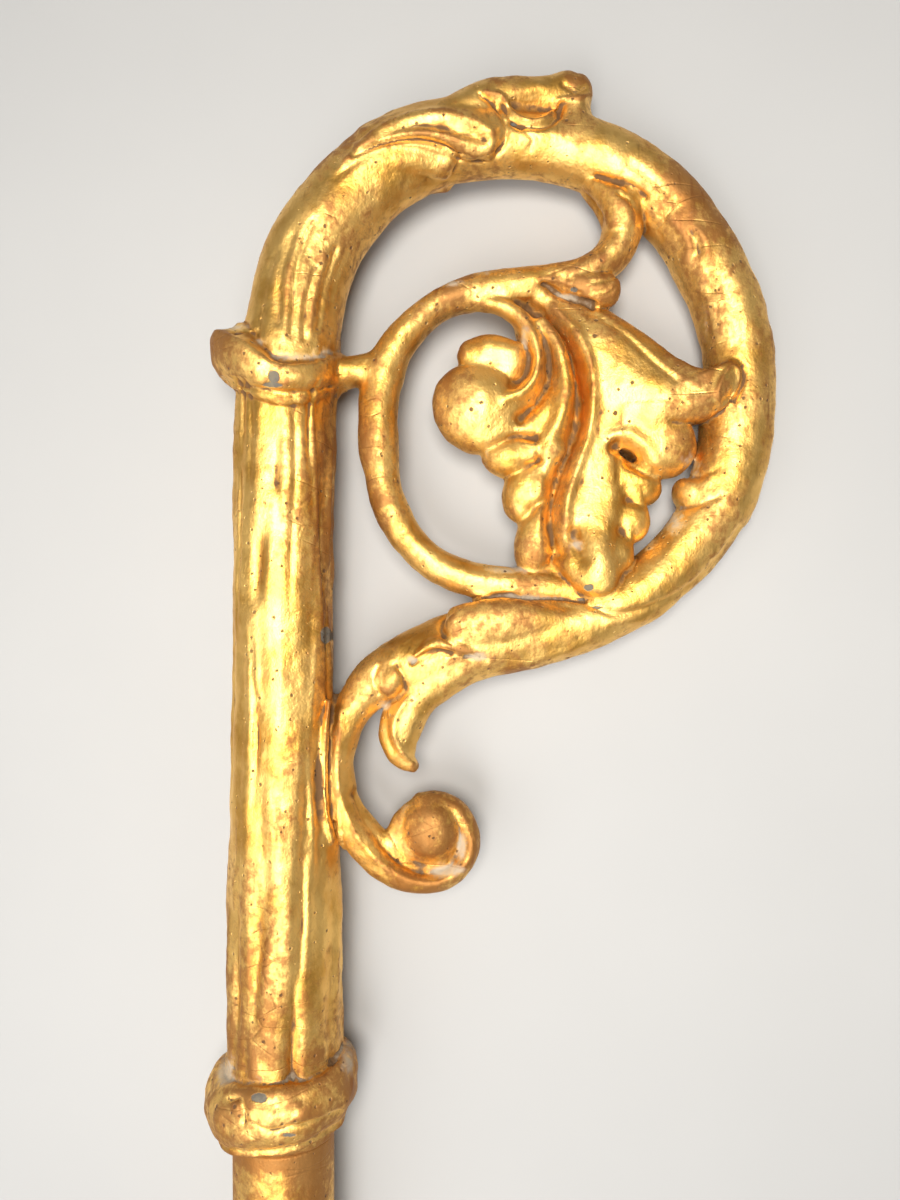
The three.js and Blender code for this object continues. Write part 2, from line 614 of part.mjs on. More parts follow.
function headSolid() {
  const parts = [
    crookSolid(),
    ...voluteSolid(),
    stemSolid(),
    ...leafletSolids(),
    leafSolid(),
    ...leafRollSolids(),
    knopSolid(),
    collarSolid(),
  ];
  const joined = parts.reduce((whole, part) => whole.add(part));
  const pierced = joined.subtract(slitSolid());
  return pierced.subtract(groundBlock(BASE - SPARE, BASE + HEAD_HEIGHT + SPARE));
}

// The staff: a plain tapered pole with one turned ring near its foot
function staffSolid() {
  const top = BASE - JOINT_GAP;
  const foot = top - STAFF_LENGTH;
  const ring = foot + FOOT_RING_RISE;
  const shapeAt = (height) =>
    FOOT_RADIUS + ((STAFF_RADIUS - FOOT_RADIUS) * (height - foot)) / STAFF_LENGTH;
  const CHAMFER = 1.5;
  const profile = [
    [FOOT_RADIUS - CHAMFER, foot],
    [FOOT_RADIUS, foot + CHAMFER],
    [shapeAt(ring), ring],
  ];
  const ROUND_STEPS = 8;
  for (let i = 0; i <= ROUND_STEPS; i++) {
    const q = Math.PI * (i / ROUND_STEPS - 0.5);
    const radius = KNOP_RADIUS - 6 + 6 * Math.cos(q) ** 0.8;
    profile.push([radius, ring + FOOT_RING_HEIGHT * (0.5 + 0.5 * Math.sin(q))]);
  }
  profile.push([shapeAt(ring + FOOT_RING_HEIGHT), ring + FOOT_RING_HEIGHT]);
  profile.push([STAFF_RADIUS, top]);
  return turned(profile, 24).subtract(groundBlock(foot - SPARE, top));
}

const gilding = new THREE.MeshStandardMaterial({ color: 0xc8963c, roughness: 0.36, metalness: 0.9 });
const wornGilding = new THREE.MeshStandardMaterial({
  color: 0xa87a34,
  roughness: 0.45,
  metalness: 0.8,
});

const crosier = new THREE.Group();
for (const [name, made, material] of [
  ["crook_head", headSolid(), gilding],
  ["staff", staffSolid(), wornGilding],
]) {
  const mesh = new THREE.Mesh(geometryOf(made), material);
  mesh.name = name;
  crosier.add(mesh);
}
crosier.rotation.set(ROLL, 0, -Math.PI / 2);
crosier.position.x = STAFF_LENGTH + JOINT_GAP - BASE;

export default crosier;
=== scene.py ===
# A bishop's crosier in carved, gilded wood, lying down. The forms are worked out in the head's
# own frame, in millimetres: u to the crook's side, v up the staff, w out of the carved face.
import math

import bpy
import numpy as np
import openvdb as vdb
from mathutils import Matrix, Vector


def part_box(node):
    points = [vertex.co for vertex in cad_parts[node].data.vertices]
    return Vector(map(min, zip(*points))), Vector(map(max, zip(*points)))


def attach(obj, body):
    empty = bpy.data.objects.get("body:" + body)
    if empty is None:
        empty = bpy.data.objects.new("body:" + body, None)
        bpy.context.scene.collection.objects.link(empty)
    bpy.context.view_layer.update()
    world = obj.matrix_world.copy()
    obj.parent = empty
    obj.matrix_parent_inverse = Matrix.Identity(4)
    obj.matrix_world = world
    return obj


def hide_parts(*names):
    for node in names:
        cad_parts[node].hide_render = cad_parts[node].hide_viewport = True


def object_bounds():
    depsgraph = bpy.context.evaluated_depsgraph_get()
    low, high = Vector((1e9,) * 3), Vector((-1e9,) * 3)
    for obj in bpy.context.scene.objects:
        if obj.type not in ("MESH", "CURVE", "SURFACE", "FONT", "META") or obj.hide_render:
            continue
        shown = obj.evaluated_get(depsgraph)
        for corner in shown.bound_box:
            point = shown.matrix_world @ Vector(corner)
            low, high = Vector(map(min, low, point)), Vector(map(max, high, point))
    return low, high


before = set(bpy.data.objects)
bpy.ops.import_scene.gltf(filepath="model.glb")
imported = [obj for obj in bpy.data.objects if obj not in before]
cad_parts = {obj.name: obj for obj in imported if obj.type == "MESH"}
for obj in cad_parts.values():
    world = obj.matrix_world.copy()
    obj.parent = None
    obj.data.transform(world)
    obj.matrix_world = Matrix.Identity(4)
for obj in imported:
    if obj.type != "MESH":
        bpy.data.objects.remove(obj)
CAD_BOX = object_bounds()
STAFF_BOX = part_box("staff")
MM = 0.001

# Sizes of the real pieces, in millimetres, the same as the solids'
HEAD_BASE = -9.5  # underside of the head, v
JOINT_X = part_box("crook_head")[0][0] / MM
KNOP_RADIUS = 22.8
KNOP_MIDDLE = 2.2
KNOP_HEIGHT = 20.0
KNOP_BULGE = 5.5  # how far its moulding swells out
KNOP_LIP = 2.5  # how much of its height is the flat lip
KNOP_TILT = 2.4
KNOP_LEAN = 0.016  # how much fuller the knop is on the side away from the crook
SHAFT_LOW, SHAFT_HIGH = 13, 226  # the tooled stretch of the shaft, v
SHAFT_REACH = 18.5  # what lies nearer to the staff's axis there is the shaft
SHAFT_HIGH_RADIUS = 15.0
COLLAR_MIDDLE = 219.0
COLLAR_PROUD = 4.2
LEAF_RIM = 1.9  # half the leaf's thickness at its edge
LEAF_SWELL = 4.4  # how much more it has at its heart
CROOK_DEPTH = 10.2
CROOK_OFFSET = 136.5
ROLL = math.asin((KNOP_RADIUS - CROOK_DEPTH) / CROOK_OFFSET)
FLOOR = CAD_BOX[0][2] / MM
STAFF_RADIUS = 15.2
FOOT_RADIUS = 13.4
FOOT_RING_RISE = 24.0
FOOT_RING_HEIGHT = 17.0
FOOT_RING_BULGE = 6.0
FOOT_CHAMFER = 1.5
VOXEL = 0.6  # grid that the carved forms are fused on
LONG_STRAY = 0.19  # how far the carver's hand strayed over long stretches
SHORT_STRAY = 0.08  # and in small dents
KNOP_STRAY = 0.3
HEAD_TRIANGLES = 190000
BACK_SLIM = 0.78  # the width of a leaf's twin on the hidden side, against its own
BACK_STROKES = 0.6  # the depth of the hidden side's strokes, against the carved face's
CREVICE_ROUNDS = 6  # how far the surface is relaxed to find its creases
HOLLOW_ROUNDS = 40  # and its wide hollows


# Frames and the camera

def rolled(u, x, w):
    """Y = -u and Z = w, turned by the roll about the staff's axis."""
    c, s = math.cos(ROLL), math.sin(ROLL)
    return np.stack([x, -u * c - w * s, -u * s + w * c], axis=1)


def to_part(points):
    """Head frame to part frame: X = v from the joint up, and the roll."""
    u, v, w = points.T
    return rolled(u, v - HEAD_BASE + JOINT_X, w)


def part_point(u, v, w):
    """One point of the head frame, in the part's metres."""
    return Vector(to_part(np.array([[u, v, w]], float))[0] * MM)


# The photograph was taken from straight above the head, close by, with a phone's wide lens.
VIEW_CENTRE = np.array([49.8, 148.5])
VIEW_HEIGHT = 272.0
FRAME_HEIGHT = 360.0  # what 1200 pixels span on the head's middle plane


def make_camera():
    """The photo's camera: its lens spans the frame's height at the view's height."""
    data = bpy.data.cameras.new("photo_camera")
    data.sensor_fit = "VERTICAL"
    data.sensor_height = 36.0
    data.lens = 36.0 * VIEW_HEIGHT / FRAME_HEIGHT
    data.clip_start = 0.01
    camera = bpy.data.objects.new("photo_camera", data)
    bpy.context.scene.collection.objects.link(camera)
    eye = part_point(*VIEW_CENTRE, VIEW_HEIGHT)
    back = (eye - part_point(*VIEW_CENTRE, 0)).normalized()
    up = (part_point(0, 1, 0) - part_point(0, 0, 0)).normalized()
    right = up.cross(back)
    turn = Matrix((right, up, back)).transposed()
    camera.matrix_world = Matrix.Translation(eye) @ turn.to_4x4()
    bpy.context.scene.camera = camera


make_camera()


def drawn(u, v, w):
    """Where the camera sees points of the carved face: centre + (place - centre) / nearness.

    Nearness is 1 - w / view height. The hidden side counts as a mirror image of the face.
    """
    cu, cv = VIEW_CENTRE
    nearness = 1 - np.abs(w) / VIEW_HEIGHT
    return cu + (u - cu) / nearness, cv + (v - cv) / nearness


def laid(stations):
    """Stations of a leaf drawn as the camera sees it, brought to its own depth."""
    rows = []
    for u, v, w, a, b in stations:
        nearness = 1 - (w + 0.7 * b) / VIEW_HEIGHT
        place = VIEW_CENTRE + (np.array([u, v]) - VIEW_CENTRE) * nearness
        rows.append((*place, w, a * nearness, b))
    return rows


# Curves and swept forms

def along(stations, step):
    """A centripetal Catmull-Rom curve through the stations, resampled by its length.

    Each column is blended between knots spaced by the square root of the chord.
    """
    rows = np.asarray(stations, float)
    rows = np.vstack([2 * rows[0] - rows[1], rows, 2 * rows[-1] - rows[-2]])
    chord = np.sqrt(np.linalg.norm(np.diff(rows[:, :3], axis=0), axis=1))
    knots = np.concatenate([[0.0], np.cumsum(chord)])
    t = np.linspace(knots[1], knots[-2], 24 * len(rows))
    i = np.clip(np.searchsorted(knots, t, side="right") - 1, 1, len(knots) - 3)

    def mix(a, b, lo, hi):
        share = ((t - lo) / (hi - lo))[:, None]
        return a * (1 - share) + b * share

    k0, k1, k2, k3 = knots[i - 1], knots[i], knots[i + 1], knots[i + 2]
    a = mix(rows[i - 1], rows[i], k0, k1)
    b = mix(rows[i], rows[i + 1], k1, k2)
    c = mix(rows[i + 1], rows[i + 2], k2, k3)
    curve = mix(mix(a, b, k0, k2), mix(b, c, k1, k3), k1, k2)
    run = np.concatenate([[0.0], np.cumsum(np.linalg.norm(np.diff(curve[:, :3], axis=0), axis=1))])
    count = max(4, int(math.ceil(run[-1] / step)) + 1)
    where = np.linspace(0, run[-1], count)
    out = np.stack([np.interp(where, run, curve[:, k]) for k in range(curve.shape[1])], axis=1)
    return out, where


def circle(sides):
    """Angles evenly round a circle."""
    return np.arange(sides) * 2 * math.pi / sides


def around_staff(radius, angle, height):
    """Points at a radius, an angle and a height about the staff's axis."""
    return np.stack([radius * np.cos(angle), height, radius * np.sin(angle)], axis=-1)


def ring_faces(rings, sides):
    """Triangles between neighbouring rings of vertices, the last ring joined to the first."""
    r = np.arange(rings)[:, None] * sides
    up = np.roll(r, -1)
    k = np.arange(sides)[None, :]
    n = (k + 1) % sides
    halves = [(r + k, r + n, up + n), (r + k, up + n, up + k)]
    return [np.stack(np.broadcast_arrays(*half), axis=-1) for half in halves]


def closed(grid, first, last):
    """Vertices and triangles of a grid of rings, closed at both ends by one vertex."""
    rings, sides = grid.shape[:2]
    walls = [half[:-1].reshape(-1, 3) for half in ring_faces(rings, sides)]
    k = np.arange(sides)
    n = (k + 1) % sides
    tail = rings * sides
    top = (rings - 1) * sides
    caps = np.concatenate([
        np.stack([np.full(sides, tail), n, k], axis=1),
        np.stack([np.full(sides, tail + 1), top + k, top + n], axis=1),
    ])
    return np.vstack([grid.reshape(-1, 3), first, last]), np.concatenate([*walls, caps])


ROUND_REACH = 0.8  # how far a round end stands out, as a share of the limb's half size


def limb(stations, sides=48, ends=(True, True)):
    """A closed limb: an oval section carried along a curve, with round or flat ends.

    A point is centre + side * a * cos(angle) + out * b * sin(angle), and a round end shrinks the
    ring as a quarter circle.
    """
    path, where = along(stations, 0.8)
    tangent = np.gradient(path[:, :3], where, axis=0)
    tangent /= np.linalg.norm(tangent, axis=1)[:, None]
    rows = np.column_stack([path, tangent, np.ones(len(path))])
    turn = np.linspace(0, math.pi / 2, 9)[1:-1]
    for end, wanted in zip((0, -1), ends):
        if wanted:
            extra = np.repeat(rows[[end]], len(turn), axis=0)
            reach = ROUND_REACH * min(rows[end, 3:5]) * (-1 if end == 0 else 1)
            extra[:, :3] += reach * np.sin(turn)[:, None] * rows[end, 5:8]
            extra[:, 8] = np.cos(turn)
            rows = np.vstack([extra[::-1], rows] if end == 0 else [rows, extra])
    centre, a, b, tangent, scale = rows[:, :3], rows[:, 3], rows[:, 4], rows[:, 5:8], rows[:, 8]
    side = np.cross([0.0, 0.0, 1.0], tangent)
    side /= np.linalg.norm(side, axis=1)[:, None]
    out = np.cross(tangent, side)
    angle = circle(sides)
    wide = a[:, None] * scale[:, None] * np.cos(angle)
    deep = b[:, None] * scale[:, None] * np.sin(angle)
    grid = centre[:, None] + side[:, None] * wide[..., None] + out[:, None] * deep[..., None]
    last = 1 - math.sin(turn[-1])
    tip = ROUND_REACH * min(a[0], b[0]) * last if ends[0] else 0
    stop = ROUND_REACH * min(a[-1], b[-1]) * last if ends[1] else 0
    return closed(grid, centre[0] - tip * tangent[0], centre[-1] + stop * tangent[-1])


def ball(centre, half, sides=40):
    """An ellipsoid: centre + half * (cos lat cos lon, cos lat sin lon, sin lat)."""
    lat = np.linspace(-0.49 * math.pi, 0.49 * math.pi, sides // 2)[:, None]
    lon = circle(sides)[None, :]
    unit = np.stack([np.cos(lat) * np.cos(lon), np.cos(lat) * np.sin(lon),
                     np.sin(lat) + 0 * lon], axis=-1)
    grid = np.asarray(centre) + unit * np.asarray(half)
    return closed(grid, np.asarray(centre) - [0, 0, half[2]], np.asarray(centre) + [0, 0, half[2]])


def behind(stations):
    """The same stations on the hidden side, a little slimmer."""
    return [(u, v, -w, BACK_SLIM * a, b) for u, v, w, a, b in stations]


def distance_to(chain, u, v):
    """Least distance from each point to a chain of straight stretches in the u, v plane."""
    chain = np.asarray(chain, float)
    least = np.full(u.shape, 1e9, np.float32)
    for (au, av), (bu, bv) in zip(chain[:-1], chain[1:]):
        du, dv = bu - au, bv - av
        t = np.clip(((u - au) * du + (v - av) * dv) / (du * du + dv * dv), 0, 1)
        least = np.minimum(least, np.hypot(u - au - t * du, v - av - t * dv))
    return least


def fine(chain, step=1.0):
    """A smooth chain of short stretches through the given u, v points."""
    rows = [(u, v, 0.0) for u, v in chain]
    return along(rows, step)[0][:, :2]


# The carved forms

# The crook from the knop up and round to the scroll's eye, and the stem inside it: u, v and the
# half sizes across and deep. Both lie in the head's middle plane.
CROOK = [
    (0, HEAD_BASE, 15.8, 15.8), (0, 8, 16.9, 16.9), (0, 30, 17, 17), (0, 60, 16.7, 16.7),
    (0, 100, 15.5, 15.5), (0, 135, 15, 15), (0, 170, 15.1, 15.1), (0.4, 205, 15, 15),
    (1.5, 222, 14.9, 14.9), (3.4, 233, 14.1, 13.8), (6.8, 248, 13.9, 13.3),
    (11.5, 257.5, 13.4, 12.9), (18.5, 267, 12.9, 12.4), (26.5, 275, 12.7, 12.1),
    (36.3, 281.5, 12.7, 11.8), (48, 285.6, 12, 11.3), (62, 286, 10.4, 10.7),
    (75.5, 284.4, 9.2, 10.3), (88, 282.6, 9.8, 10.2), (97.5, 279.3, 10.3, 10.2),
    (107, 273.8, 10.2, 10.2), (115, 266.7, 10.2, 10.2), (122.5, 257.3, 10.4, 10.2),
    (129, 245.5, 10.4, 10.2), (133.5, 234.7, 10.3, 10.2), (136, 223.5, 10.3, 10.2),
    (136.5, 212, 10.4, 10.2), (135.8, 200, 10.6, 10.2), (133.8, 188.5, 10.5, 10.2),
    (130.2, 178, 10.4, 10.2), (125.2, 169.2, 9.9, 10.1), (118.8, 161.5, 9.5, 10),
    (111.2, 154.6, 9.2, 10), (103, 148.8, 9.3, 10), (94.2, 144, 9.2, 10), (84, 140.5, 9.5, 10),
    (71, 138, 10.6, 10.2), (58, 135.8, 11.2, 10.2), (47, 132.2, 11, 9.8), (36, 128.4, 9.4, 8.8),
    (26.5, 123.2, 7.4, 7.8), (20.2, 115.5, 5.7, 7.2), (17, 106, 5, 7), (16.2, 97, 4.9, 6.8),
    (17.6, 88, 5.4, 6.6), (21.6, 80.2, 6.2, 6.5), (27.6, 73, 6.2, 6.3), (34.6, 67.2, 5.2, 6),
    (42.6, 64.8, 4.1, 5.8), (49.2, 66, 3.6, 5.6), (53.4, 69.8, 3.3, 5.4), (55.5, 75.4, 3.1, 5.2),
    (54.8, 81.4, 3.1, 5.0), (51.2, 86.2, 3.2, 4.8), (46, 88.4, 3, 4.4), (40.8, 88.2, 2.6, 4),
]

STEM = [
    (104, 273, 6, 7.8), (102.2, 266, 5.8, 7.8), (101.4, 259.5, 5.9, 7.8), (99.6, 253.6, 5.6, 7.6),
    (95.6, 249.2, 5.2, 7.4), (88.6, 245.8, 4.8, 7.2), (79, 243.6, 5.3, 7), (67, 241.4, 6, 6.8),
    (56, 240.2, 5.2, 6.6), (47.6, 237.2, 4.6, 6.6), (40, 231.6, 4.8, 6.6), (34, 224.4, 5.4, 6.6),
    (30.2, 217, 6, 6.6), (28.4, 208.6, 6.1, 6.5), (28.2, 200, 6, 6.4), (28.9, 189, 5.7, 6.2),
    (31, 178.5, 5.2, 6), (35.8, 168.8, 5, 6), (43.4, 160.6, 5, 6), (52, 156, 5.2, 6.1),
    (62, 153.6, 5.2, 6.3), (80, 152, 5.6, 6.6), (96, 150, 4.4, 6),
]

# The scroll's eye: the middle and half sizes of a flat ball, which floors it, and a tall one.
SCROLL_EYE = [((43.4, 76.8, 0), (12.6, 13, 4.6)), ((44.2, 80.4, 0), (8.8, 9.9, 9.2))]

# Each leaflet: whether the hidden side has it too, how softly it melts in, and its stations.
LEAFLETS = [
    # the crocket on the crook's top, with its broken tip, and its neck
    (False, 1.5, [(48, 290, 0, 6, 11.4), (60, 294.4, 0, 7.8, 10.8), (70, 296.6, 0, 7, 9.8),
        (79, 297.8, 0, 6.6, 8.6), (85.6, 300, 0, 6.3, 7.2), (88.4, 300.6, 0, 5, 6.2)]),
    (False, 2, [(86.4, 300, 0, 4.6, 6.4), (86.8, 288, 0, 6, 8.6)]),
    # two long lobes on the crook's rise
    (True, 0.7, laid([(16, 277, 9.6, 1.4, 2.6), (30, 287, 9.6, 4, 3.6), (46, 290.8, 9, 6.6, 4),
        (56, 290.2, 8.4, 7.8, 4.2), (62, 289.2, 7.8, 7.2, 4)])),
    (True, 0.7, laid([(14, 271, 9.8, 1.4, 2.4), (26, 280, 9.4, 3.2, 3.4), (38, 281.8, 8, 4.2, 3.6),
        (48, 279.8, 5, 3.8, 3.4)])),
    # the head of the small leaf that folds over the crook's shoulder
    (True, 0.7, laid([(92, 274, 2.4, 2, 3), (97.4, 271.4, 4, 4, 4), (101.2, 267.4, 5, 5.2, 4.4),
        (102, 262.8, 5, 5, 4)])),
    # its lower end, curled over the stem
    (True, 0.6, laid([(84, 244.6, 2.6, 2.4, 3.4), (89, 243.6, 3.4, 4.4, 4.6),
        (94, 242.4, 3.8, 5.4, 5.2), (97.6, 242.6, 3.6, 5, 5)])),
    # the sheath at the crook's end, in three lobes
    (True, 0.6, laid([(88, 143.6, 5.4, 2.2, 3.2), (76, 142.6, 7, 5.4, 4.4),
        (64, 141.8, 7.8, 7.2, 4.8), (51.8, 140.4, 7, 6.4, 4.6)])),
    (True, 0.6, laid([(63, 130.6, 5.8, 1.6, 2.8), (57, 132.4, 7.2, 2.2, 3.4),
        (50.5, 135, 7.8, 2.6, 3.6), (44.5, 134.6, 7.6, 2.6, 3.4), (40, 131.6, 7, 1.8, 3)])),
    (True, 0.6, laid([(37, 128.6, 5.4, 2.4, 3.2), (33, 125.6, 5.8, 3.8, 3.8),
        (30.8, 122.4, 5.2, 3.8, 3.6)])),
    # the leaf that hangs from the sheath
    (False, 1.6, [(54, 128.5, 0, 5, 8), (46, 124, 0, 6.4, 8), (39.6, 118.6, 0, 6.4, 7.4),
        (35.6, 111.6, 0, 6.6, 6.6), (34.6, 105.6, 0, 5.6, 5.6), (36.4, 100.6, 0, 3.6, 4),
        (39, 98.4, 0, 1.6, 2.6)]),
    # the stub of a twig inside the right limb
    (False, 1.4, [(133, 183.4, 0, 4.8, 6.4), (125, 180.8, 1, 4.3, 5.8),
        (120.2, 180.2, 1.2, 4.7, 5.6)]),
    # the tip of the big leaf, curled over the right limb
    (False, 0.6, laid([(123, 208.5, 6, 4.6, 4.6), (129, 211.4, 9, 4.2, 3.6),
        (133, 215, 9.6, 2.6, 2.8)])),
    # the bridge from the collar to the stem
    (False, 1.6, [(13.6, 216, 0, 6.2, 6.4), (20, 216.8, 0, 4.6, 5.6), (24.5, 217, 0, 5.2, 5.4),
        (31, 217.4, 0, 7, 5.4)]),
    # what fills the crease under the stem's foot, the pocket by the leaf and the leaf's notch
    (False, 1.6, [(57.5, 149.6, 0, 2, 5.4), (64, 148.8, 0, 3, 6.6), (74, 148, 0, 3.6, 7),
        (86, 147.4, 0, 3.6, 7), (96, 147.6, 0, 3, 6.4)]),
    (False, 2, [(72, 240, 0, 2.6, 4.4), (80, 239.4, 0, 3.4, 4.8), (90, 239, 0, 3.6, 4.8),
        (96, 240.4, 0, 2.6, 4)]),
    (False, 2, [(74, 158, 0.6, 2, 3), (81, 157.6, 1, 3.6, 3.4), (87, 157, 2, 3, 3.4)]),
    # a thin ridge between the shaft and the scroll
    (True, 0.8, [(14.6, 119, 7.2, 0.9, 1.8), (13.5, 110, 8, 1.1, 2), (13.3, 97, 8.2, 1.1, 2),
        (13.8, 86, 8, 1, 2), (15.4, 78, 6.6, 0.8, 1.6)]),
]

LEAF_HEART = (94.0, 200.0)
# The leaf's outline, lobe by lobe, each starting where the one before it ends.
LEAF_LOBES = [
    [(67.6, 225), (63.5, 227.1), (59, 227.2), (54.5, 225), (52.2, 221.4), (54, 218.2)],
    [(50.6, 216.4), (47.6, 213), (45.6, 208), (45.8, 203), (48.4, 199), (53, 195.6), (57, 193.6),
     (60.4, 193)],
    [(60.6, 190.2), (63, 187), (67.2, 185.3)],
    [(66, 181), (66.2, 176.6), (68, 174), (70.6, 171.8)],
    [(69.4, 166.6), (69.7, 160.4), (71.4, 157.2), (74.2, 156.7), (77.4, 158.6), (80, 162.5)],
    [(81.6, 158), (85, 153), (89, 150.1), (93.6, 149.1), (96.6, 150.6), (99, 155.6), (102, 159),
     (104, 163), (104.2, 165.5)],
    [(106.8, 167), (109, 171), (108.6, 174.6), (107.7, 176.8)],
    [(110.6, 177.8), (112.5, 181.2), (111.3, 185.3)],
    [(116, 186), (120, 188.6), (122, 193.6), (121.6, 197.6), (120.3, 200.3)],
    [(125, 201.6), (129.6, 204.2), (132, 208), (135.4, 212.6), (135.8, 217), (132, 218.6),
     (126, 215.8)],
    [(122, 216.6), (117, 219.2), (110, 225.5), (102, 231.5), (94, 237), (85, 243), (75, 242.6),
     (69.6, 238), (69, 231), (70.3, 225)],
]
# Folds of the leaf's face, as the camera sees them: height, spread and the points of each.
LEAF_FOLDS = [
    # the deep midrib, and the ridge of the broad wing that borders it
    (-5.4, 2.3, (73, 237), (77.4, 234.4), (82.6, 228), (86.4, 220), (88.2, 212), (88.4, 205),
        (87.2, 197.6), (84.4, 190), (81.8, 183), (80.4, 175), (80.4, 167.5), (82, 162)),
    (1.5, 1.8, (81, 235.6), (87, 228.6), (91, 220), (92.2, 212), (92, 205), (90.4, 197),
        (88, 189.6), (85.6, 182.6), (84.4, 176), (84.6, 170)),
    (-2.8, 2, (79, 229), (80.2, 221), (79, 213.4), (75.6, 207.6), (71, 203.6)),
    (-3, 2.4, (74, 224.6), (73.6, 218.6), (70.6, 214.4), (66, 212.6)),
    (-1.6, 1, (52.5, 218), (58.7, 218.7), (64.9, 217), (69.7, 214.4)),
    (-1.8, 1.3, (60.4, 193.6), (65, 195.8), (70, 197.6), (75, 197.2)),
    (-1.8, 1.2, (67.2, 185.5), (71.8, 188), (76.6, 190.6)),
    (-1.2, 0.9, (76.4, 190.4), (78, 195.2), (81.6, 197.2)),
    (-1.8, 1.2, (70.6, 171.9), (73.6, 174.6), (77, 178)),
    (1.2, 2.4, (76.4, 184), (77.4, 176), (78.4, 168)),
    # the middle of the lower lobe, its dusty hollow and the step down to its frilled edge
    (0.7, 5, (94, 194), (95.6, 184), (95.4, 174), (94, 160)),
    (-2.4, 2.8, (86.6, 168.5), (88, 164.6), (89.6, 161)),
    (-0.8, 2.4, (101, 189), (102.8, 181.6), (102, 174), (100.6, 168), (99.4, 161), (98.4, 155)),
    (-1.4, 1.4, (104.2, 165.5), (101.6, 169.5)),
    (-1.4, 1.4, (107.7, 176.8), (103.6, 178.6)),
    (-1.6, 1.4, (111.3, 185.3), (107, 187.4), (103.6, 189.6)),
    # the hole with the ridge above it
    (-3, 2, (99.6, 194.8), (102.6, 192.8), (105.6, 190.8)),
    (1.3, 2, (98.4, 197), (101.6, 198.4), (105.4, 197.4), (109, 193.6), (111.4, 189.6)),
    (-0.6, 1.6, (120.3, 200.6), (117, 201.8)),
    # the broad wing and the two thin lines along its upper edge
    (2.4, 10, (97, 224), (104, 215), (112, 209)),
    (0.5, 1, (87, 239.4), (95, 234.6), (102, 229.6), (110, 222.6), (117, 216.6), (124, 213)),
    (-0.45, 0.9, (88, 236.4), (96, 231.8), (104, 226), (111, 219.4), (117.4, 214)),
    (1.4, 2.4, (122, 207), (128, 209.6), (133, 213.6)),
]
# Rounded lobes of the leaf: how softly each melts in, its middle, and its half sizes.
LEAF_PADS = [
    (5, (58, 206, 0.6), (12.3, 12.3, 8.4)), (2.6, (67.8, 190.8, 0.4), (7.6, 5.7, 5.6)),
    (2.6, (71.2, 179.2, 0.4), (5.4, 7.3, 5.4)), (2.4, (74.2, 163.8, 1.4), (4.8, 7.2, 5.4)),
    (1.8, (79.6, 193.2, 3.6), (4.2, 3.6, 3.8)), (5, (112.8, 193.8, 1.4), (8.6, 7.8, 6.6)),
    (3, (106.6, 181.4, 1), (5, 4.2, 4.2)), (3, (103.6, 171.6, 2), (4.6, 5.4, 3.8)),
    (2.4, (99.8, 161.2, 4), (3.8, 5.2, 4)), (3, (93.4, 156.8, 6), (5.8, 7.4, 4.8)),
]
# Rolls of the leaf: how softly each melts in, and its stations.
LEAF_ROLLS = [
    (1.4, [(55.6, 221.8, 0.4, 4.3, 4.4), (62, 222.5, 1.2, 4.8, 5.2), (69, 221, 1.8, 4.4, 5)]),
    (1.8, laid([(58, 238.6, 2.4, 2, 3), (65.4, 237.2, 3.4, 2.4, 3.6), (70.6, 234, 4.2, 2.7, 3.8),
                (74.2, 229, 4.6, 2.6, 3.8), (76.2, 222.4, 4.8, 2, 3.8), (75.4, 216, 5, 1.8, 3.6),
                (71.8, 211.4, 5.2, 1.7, 3.2), (66, 208.8, 5.8, 1.5, 2.6)])),
    (2.4, laid([(77.6, 232.4, 4.2, 1.8, 3.2), (81.4, 226.4, 4.8, 2.3, 3.6),
                (84, 219, 5, 2.5, 3.8), (84.6, 211, 5, 2.6, 3.8), (83, 203.4, 4.6, 2.6, 3.6),
                (79.8, 197.6, 4, 2.4, 3)])),
]
# The hole through the leaf's right side.
LEAF_SLIT = [(100.4, 192.2, 0, 0.9, 30), (102.2, 191.2, 0, 1.2, 30), (104, 189.9, 0, 0.8, 30)]


def leaf_middle(u, v):
    """How far the leaf's middle surface comes forward: two round swells, at its tip and curl."""
    tip = 7.0 * np.exp(-((u - 94) ** 2 + (v - 152) ** 2) / 17.0 ** 2)
    curl = 7.0 * np.exp(-((u - 132) ** 2 + (v - 216) ** 2) / 27.0 ** 2)
    return tip + curl


